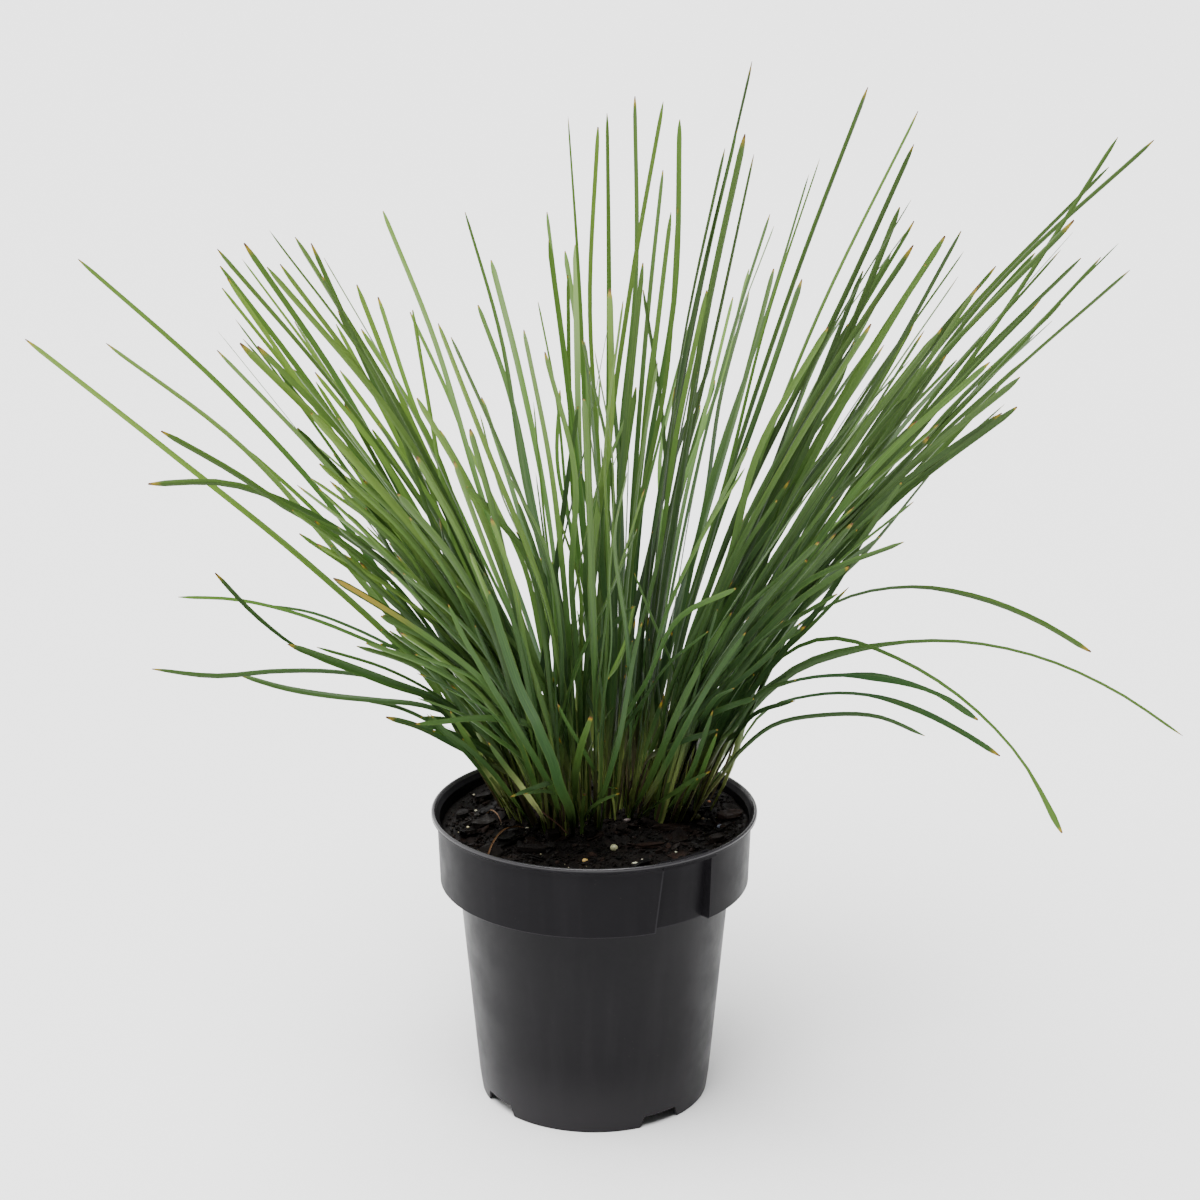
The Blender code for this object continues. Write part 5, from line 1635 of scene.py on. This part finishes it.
def fan_filler(top, fan, lean, generator):
    """A short leaf that leans out of its shoot's foot, along the fan, about the way that the shoot leans."""
    length = generator.uniform(*FAN_LENGTH)
    share = (length - FAN_LENGTH[0]) / (FAN_LENGTH[1] - FAN_LENGTH[0])
    tilt = generator.uniform(FAN_TILT[0], mix(FAN_TILT[1], FAN_TILT[0] * LONG_TILT_SHARE, share))
    tilt = tilt * generator.choice((-1, 1))
    heading = lean * cos(tilt) + fan * sin(tilt)
    heading = heading + Vector(generator.normal(0, FAN_SWAY, 3))
    level = Vector((heading.x, heading.y, 0))
    if heading.z < level.length * LOWEST_LEAN:
        heading.z = level.length * LOWEST_LEAN
    return arched(top, top + heading.normalized() * length, generator.uniform(*FAN_BOW))


def along_filler(top, model, generator):
    """A shorter leaf that goes along a listed one."""
    share = generator.uniform(*ALONG_SHARE)
    sway = Vector(generator.normal(0, ALONG_SWAY, 3))
    line = model.rings[-1] - top
    if model.bent:
        share = generator.uniform(*ALONG_BENT_SHARE)
        line = model.rings[2] - top
    tip = top + (line + sway * line.length) * share
    return arched(top, tip, generator.uniform(*ALONG_BOW))


def in_view(point):
    """Where a point shows in the front view."""
    offset = point - VIEW_EYE
    forward = offset.y * cos(VIEW_TILT) - offset.z * sin(VIEW_TILT)
    upward = offset.y * sin(VIEW_TILT) + offset.z * cos(VIEW_TILT)
    return VIEW_CENTRE + offset.x / forward * VIEW_FOCAL, VIEW_CENTRE - upward / forward * VIEW_FOCAL


def shows_in_gap(rings):
    """Whether a leaf crosses one of the gaps in the front view."""
    places, _ = smooth_curve(rings, np.linspace(GAP_SAMPLES_FROM, 1, GAP_SAMPLES))
    for place in places:
        across, down = in_view(Vector(place))
        for (left, top), (right, bottom), reach in GAPS:
            line = (right - left, bottom - top)
            length = line[0] ** 2 + line[1] ** 2
            share = ((across - left) * line[0] + (down - top) * line[1]) / length
            share = min(1, max(0, share))
            away = (across - left - share * line[0]) ** 2 + (down - top - share * line[1]) ** 2
            if away < reach**2:
                return True
    return False


def add_fillers(leaves, roots, fans):
    """Shorter leaves between the listed ones: along them, and fanned out of their shoot's foot."""
    generator = np.random.default_rng(FILLER_SEED)
    fillers = []
    for number, (shoot, root, fan) in enumerate(zip(SHOOTS, roots, fans)):
        top, stand = sheath_top(shoot, root)
        own = leaves_of(leaves, number)
        front = shoot.name in ROOT_MARKS
        along, fanned = OTHER_FILLERS.get(shoot.name, FRONT_FILLERS if front else FILLERS)
        lean = (top - stand).normalized()
        if front:
            lean = lean.lerp((shoot_tip(shoot) - stand).normalized(), FRONT_FAN_LEAN).normalized()
        for index in range(fanned + along):
            for _ in range(GAP_TRIES):
                if index < fanned:
                    rings = fan_filler(top, fan, lean, generator)
                else:
                    rings = along_filler(top, own[generator.integers(len(own))], generator)
                if not shows_in_gap(rings):
                    fillers.append(Leaf(number, rings))
                    break
    return leaves + fillers


def inner_leaves():
    """Short leaves between the shoots at the middle of the crown."""
    generator = np.random.default_rng(INNER_SEED)
    made = []
    for number in range(INNER_FEET):
        angle = generator.uniform(0, 2 * pi)
        reach = INNER_REACH * sqrt(generator.uniform())
        out = Vector((CROWN_ACROSS * cos(angle), CROWN_DEEP * sin(angle), 0)) * reach
        foot = CROWN_CENTRE + out
        for _ in range(INNER_PER_FOOT):
            aside = generator.normal(0, INNER_FOOT_SPREAD, 2)
            root = Vector((foot.x + aside[0], foot.y + aside[1], ground(foot.x, foot.y)))
            tilt = generator.normal(0, INNER_SPREAD, 2)
            lean = out.normalized() * INNER_LEAN * reach + Vector((*tilt, 1))
            rings = arched(root, root + lean.normalized() * generator.uniform(*INNER_LENGTH))
            if not shows_in_gap(rings):
                made.append(Leaf(len(SHOOTS) + number, rings))
    return made


# Leaf blades


def carried_frames(centres, across):
    """Width and face directions that follow the curve without spinning round it."""
    tangents = np.gradient(centres, axis=0)
    tangents /= np.linalg.norm(tangents, axis=1)[:, None]
    width = np.array(across)
    widths = []
    for tangent in tangents:
        width = width - tangent * (width @ tangent)
        width = width / np.linalg.norm(width)
        widths.append(width)
    widths = np.array(widths)
    return tangents, widths, np.cross(widths, tangents)


def facing_angle(tangent, width, face, centre):
    """The turn about the leaf that shows its broad side to the front."""
    look = centre - np.array(VIEW_EYE)
    want = np.cross(tangent, look)
    want = want / np.linalg.norm(want)
    angle = atan2(want @ face, want @ width)
    return (angle + pi / 2) % pi - pi / 2


def blade(points, across, style):
    """Corner places and attributes of one leaf along its curve."""
    shares = np.concatenate([np.linspace(0, TIP_RINGS_FROM, BLADE_RINGS - len(TIP_RINGS)), TIP_RINGS])
    centres, along = smooth_curve(points, shares)
    from_ground = np.maximum(along - SHEATH_DEPTH, 0)
    from_tip = along[-1] - along

    tangents, widths, faces = carried_frames(centres, across)
    middle = int(len(shares) * FACING_AT)
    facing = facing_angle(tangents[middle], widths[middle], faces[middle], centres[middle])
    opening = np.clip((along - SHEATH_DEPTH - OPENS_FROM) / (along[-1] * OPENS_OVER), 0, 1)
    angles = (style["turn"] + style["facing"] * facing) * opening**2 * (3 - 2 * opening)
    angles = angles + style["twist"] * (shares - FACING_AT) * opening
    cosines, sines = np.cos(angles)[:, None], np.sin(angles)[:, None]
    wide = widths * cosines + faces * sines
    up = faces * cosines - widths * sines

    in_sheath = np.exp(-((from_ground / FOLD_OPENS_OVER) ** 2))
    fold = style["fold"] + (FOLD_IN_SHEATH - style["fold"]) * in_sheath
    taper = 1 - (1 - style["narrow"]) * shares ** style["taper"]
    tip = np.clip((from_tip + style["blunt"]) / (TIP_LENGTH + style["blunt"]), 0, 1) ** TIP_ROUNDNESS
    foot = 1 - FOOT_NARROWING * np.exp(-((from_ground / FOOT_LENGTH) ** 2))
    half = style["width"] / 2 * taper * tip * foot * np.interp(shares, *zip(*style["shows"]))
    thick = BLADE_THICKNESS * np.clip(half / FULL_THICKNESS_FROM, LEAST_THICKNESS, 1)
    folded = (half * np.sin(fold))[:, None]
    spread = CORNER_ACROSS[None, :] * (half * np.cos(fold))[:, None]
    rise = np.abs(CORNER_ACROSS)[None, :] * folded + CORNER_RAISED[None, :] * thick[:, None]
    rise = rise - folded * 0.5
    places = centres[:, None, :] + wide[:, None, :] * spread[:, :, None] + up[:, None, :] * rise[:, :, None]

    position = np.zeros((len(shares), len(CORNER_ACROSS), 4))
    position[:, :, 0] = (CORNER_ACROSS[None, :] + 1) / 2
    position[:, :, 1] = from_tip[:, None]
    position[:, :, 2] = from_ground[:, None]
    position[:, :, 3] = (CORNER_RAISED < 0)[None, :]
    return places.reshape(-1, 3), position.reshape(-1, 4)


def leaf_style(generator, leaf, lean):
    """A leaf's own width, twist, taper and colouring. Leaves that lean to the right are darker: painted
    shade.
    """
    needle = generator.uniform() < NEEDLE_SHARE
    narrow, taper = NEEDLE_SHAPE if needle else BROAD_SHAPE
    style = {
        "width": generator.uniform(*BLADE_WIDTH) * (1 if leaf.listed else FILLER_WIDTH_SHARE),
        "narrow": generator.uniform(*narrow),
        "taper": generator.uniform(*taper),
        "blunt": NEEDLE_BLUNT if needle else generator.uniform(*BROAD_BLUNT),
        "fold": radians(generator.uniform(*FOLD_DEGREES)),
        "turn": generator.normal(0, LEAF_TURN),
        "twist": generator.normal(0, LEAF_TWIST),
        "facing": FACING_SHARES[0] if leaf.listed else FACING_SHARES[1],
        "shows": leaf.shows,
        "look": (
            float(np.clip(generator.normal(*HUE), 0, 1)),
            float(np.clip(generator.uniform() + mix(*PAINTED_SHADE_BY_LEAN, lean), 0, 1)),
            generator.uniform() ** (LISTED_YOUTH if leaf.listed else FILLER_YOUTH),
            generator.uniform(),
        ),
    }
    if leaf.bent:
        style.update(narrow=0.75, taper=3.0, facing=1)
        style["turn"], style["twist"] = generator.normal(0, BENT_TURN, 2)
        style["width"] = generator.uniform(*BENT_WIDTH)
        hue, _, age, seed = style["look"]
        style["look"] = (hue, generator.uniform(*BENT_SHADE), age, seed)
    return style


def plain_style(width, blunt, look, **others):
    """The style of a leaf that shows its broad side and doesn't twist, apart from what is given."""
    style = {"width": width, "narrow": 0.6, "taper": 3.0, "blunt": blunt, "fold": radians(12)}
    style.update(turn=0, twist=0, facing=1, shows=EVEN_SHOW, look=look)
    return style | others


def add_blades(name, leaves, material, slot, *nodes):
    """One piece of several leaves, each given by its curve, its width direction and its style."""
    verts, faces, position, look = [], [], [], []
    count = 0
    corners = len(CORNER_ACROSS)
    for points, across, style in leaves:
        places, own = blade(points, across, style)
        last = count + len(places) - corners
        faces.append(tuple(range(count, count + corners)))
        faces += ring_faces(count, len(places) // corners, corners)
        faces.append(tuple(reversed(range(last, last + corners))))
        verts.append(places)
        position.append(own)
        look.append(np.tile(style["look"], (len(places), 1)))
        count += len(places)
    layers = {"leaf_place": np.vstack(position), "leaf_look": np.vstack(look)}
    mesh = mesh_of(name, np.vstack(verts), faces, material, **layers)
    mesh.shade_smooth()
    mesh.set_sharp_from_angle(angle=LEAF_SHARP_FROM)
    carry(add_object(name, mesh), slot, *nodes)


def swayed(points, generator):
    """The points, swayed a little to one side and the other between the first and the last."""
    line = points[-1] - points[0]
    side = Vector((generator.normal(), generator.normal(), generator.normal())).cross(line).normalized()
    once, twice = generator.normal(0, SWAY, 2) * line.length * np.array((1, 0.5))
    count = len(points) - 1
    moved = []
    for index, point in enumerate(points):
        share = index / count
        moved.append(point + side * (once * sin(pi * share) + twice * sin(2 * pi * share)))
    return moved


def make_shoot(shoot, root, fan, leaves, generator, green):
    """All leaves of one shoot, fanned out of its sheath."""
    across = fan.cross(Vector((0, 0, 1))).normalized()
    top, stand = sheath_top(shoot, root)
    axis = (top - stand).normalized()
    leaves.sort(key=lambda leaf: (leaf.rings[1] - root).dot(fan))
    count = len(leaves)
    front = shoot.name in ROOT_MARKS
    closeness = FRONT_FAN_SHARE if front else 1
    width = (FAN_WIDTH + FAN_PER_LEAF * count) * closeness
    # How far the shoot leans to the right, for the painted shade of its leaves
    lean = min(1, max(0, (shoot_tip(shoot).x - LEAN_FROM) / LEAN_OVER)) ** 2
    made = []
    for layer, leaf in enumerate(leaves):
        place = (layer * 2 - count + 1) / max(count - 1, 1)
        leaving = mix(LEAVES_SHEATH_AT[1], LEAVES_SHEATH_AT[0], abs(place) ** LEAVING_EASE)
        leaving = min(leaving * closeness, (top - stand).length)
        outer = fan * place * width + across * generator.normal(0, FOOT_JITTER)
        first = leaf.rings[1]
        heading = (first - stand).normalized().lerp(axis, 0 if front else SHEATH_SHARE).normalized()
        foot = stand - heading * SHEATH_DEPTH + outer * FOOT_SPREAD
        out = stand + heading * leaving + outer
        between = out.lerp(first, BETWEEN_SHARE)
        if leaf.bent:
            points = [foot, out, between, *leaf.rings[1:]]
        else:
            between = between + axis * (first - out).length * BETWEEN_RISE
            points = [foot, out, between, *swayed(leaf.rings[1:], generator)]
        style = leaf_style(generator, leaf, lean)
        if shoot.name == STUB_NAME:
            style = plain_style(STUB_WIDTH, STUB_BLUNT, STUB_LOOK, shows=STUB_SHOWS)
        made.append((points, across, style))
    add_blades(f"{shoot.name}_leaves", made, green, "leaf", shoot.name)


def make_inner_leaves(leaves, generator, green):
    made = []
    for leaf in leaves:
        root = leaf.rings[0]
        heading = (leaf.rings[1] - root).normalized()
        across = Vector((*generator.normal(0, 1, 2), 0)).normalized()
        points = [root - heading * SHEATH_DEPTH, *leaf.rings]
        made.append((points, across, leaf_style(generator, leaf, INNER_SHADE_LEAN)))
    add_blades("inner_leaves", made, green, "leaf")


def make_dead_leaf(name, marks, straw):
    """A dry strip that rests on the mix at its ends and bows up between them."""
    points = []
    for index, mark in enumerate(marks):
        place = seen_on_ground(*mark)
        bow = sin(pi * index / (len(marks) - 1)) * DEAD_LEAF_ARCH
        points.append(Vector((place.x, place.y, ground(place.x, place.y) + DEAD_LEAF_LIFT + bow)))
    across = (points[1] - points[0]).normalized().cross(Vector((0, 0, 1))).normalized()
    shape = {"taper": 2.0, "fold": radians(48), "turn": 0.5, "twist": 1.6, "facing": 0}
    style = plain_style(DEAD_LEAF_WIDTH, 0.4 * MM, DEAD_LEAF_LOOK, **shape)
    add_blades(f"{name}_strip", [(points, across, style)], straw, "dead_leaf", name)


def make_front_leaves(green, straw):
    """Single leaves at the crown's front edge, a bent leaf's hanging end, and a dry leaf that leans there."""
    sideways = Vector((1, 0, 0))
    made = []
    for leaf in FRONT_LEAVES:
        root = seen_on_ground(*leaf.marks[0])
        root.z = ground(root.x, root.y)
        points = [root - Vector((0, 0, SHEATH_DEPTH)), root]
        count = len(leaf.marks) - 1
        for index in range(1, count + 1):
            forward = leaf.ahead * MM * (index / count) ** AHEAD_EASE
            points.append(seen(*leaf.marks[index], root.y - forward))
        made.append((points, sideways, plain_style(leaf.width * MM, leaf.blunt * MM, leaf.look)))
    hanging = [seen(*mark, HANGING_BEHIND) for mark in HANGING_END]
    made.append((hanging, sideways, plain_style(HANGING_WIDTH, 1 * MM, HANGING_LOOK)))
    add_blades("front_leaves", made, green, "leaf")
    root = seen_on_ground(*LEANING_DRY_LEAF[0])
    points = [seen(*mark, root.y - DRY_LEAF_AHEAD) for mark in LEANING_DRY_LEAF]
    style = plain_style(DRY_LEAF_WIDTH, 0.5 * MM, DRY_LEAF_LOOK)
    add_blades("leaning_dry_leaf", [(points, sideways, style)], straw, "dead_leaf")


def make_plant():
    green = leaf_green()
    straw = dry_leaf()
    roots = crown_places()
    leaves = place_leaves(roots)
    part_leaves(leaves, LEAF_ROOM, PARTING_ROUNDS, True)
    for number, root in enumerate(roots):
        own = leaves_of(leaves, number)
        settle_layers(own, root, shoot_outward(own, root))
    fans = fan_directions(leaves, roots)
    leaves = add_fillers(leaves, roots, fans) + inner_leaves()
    part_leaves(leaves, FILLER_ROOM, FILLER_ROUNDS, False)
    generator = np.random.default_rng(LOOK_SEED)
    for number, (shoot, root, fan) in enumerate(zip(SHOOTS, roots, fans)):
        make_shoot(shoot, root, fan, leaves_of(leaves, number), generator, green)
    make_inner_leaves([leaf for leaf in leaves if leaf.shoot >= len(SHOOTS)], generator, green)
    make_front_leaves(green, straw)
    for name, marks in DEAD_LEAVES.items():
        make_dead_leaf(name, marks, straw)


# The stage


def make_camera():
    data = bpy.data.cameras.new("camera")
    data.sensor_width = SENSOR
    data.lens = VIEW_FOCAL / VIEW_SIZE * SENSOR
    camera = bpy.data.objects.new("camera", data)
    camera.location = VIEW_EYE
    camera.rotation_euler = (pi / 2 - VIEW_TILT, 0, 0)
    bpy.context.scene.collection.objects.link(camera)
    bpy.context.scene.camera = camera


def make_floor():
    form = bmesh.new()
    bmesh.ops.create_grid(form, x_segments=2, y_segments=2, size=FLOOR_REACH)
    floor = form_object("floor", form)
    look = new_material("pale_floor")
    floor.data.materials.append(look.shaded({"Base Color": FLOOR_COLOUR, "Roughness": FLOOR_ROUGHNESS}))


def make_sun():
    """A broad, soft light from above, a little from the left and the front."""
    data = bpy.data.lights.new("key", "SUN")
    data.angle = SUN_ANGLE
    data.energy = SUN_STRENGTH
    light = bpy.data.objects.new("key", data)
    light.rotation_euler = SUN_FROM.to_track_quat("Z", "Y").to_euler()
    bpy.context.scene.collection.objects.link(light)


def make_world():
    """Soft light all round: strongest from the left and the back, dim from the front."""
    world = bpy.data.worlds.new("studio")
    bpy.context.scene.world = world
    studio = Nodes(world, "Background")
    axes = studio.axes(studio.space("Generated"))
    from_back = studio.ranged(axes["Y"], *LIGHT_ALONG_Y)
    from_left = studio.ranged(axes["X"], *LIGHT_ALONG_X)
    studio.shaded({"Color": (1, 1, 1, 1), "Strength": studio.times(from_back, from_left)})


make_camera()
make_floor()
make_world()
make_sun()
make_pot()
bark_material = bark()
make_mix_body(bark_material)
make_bark_pieces(bark_material)
make_plant()
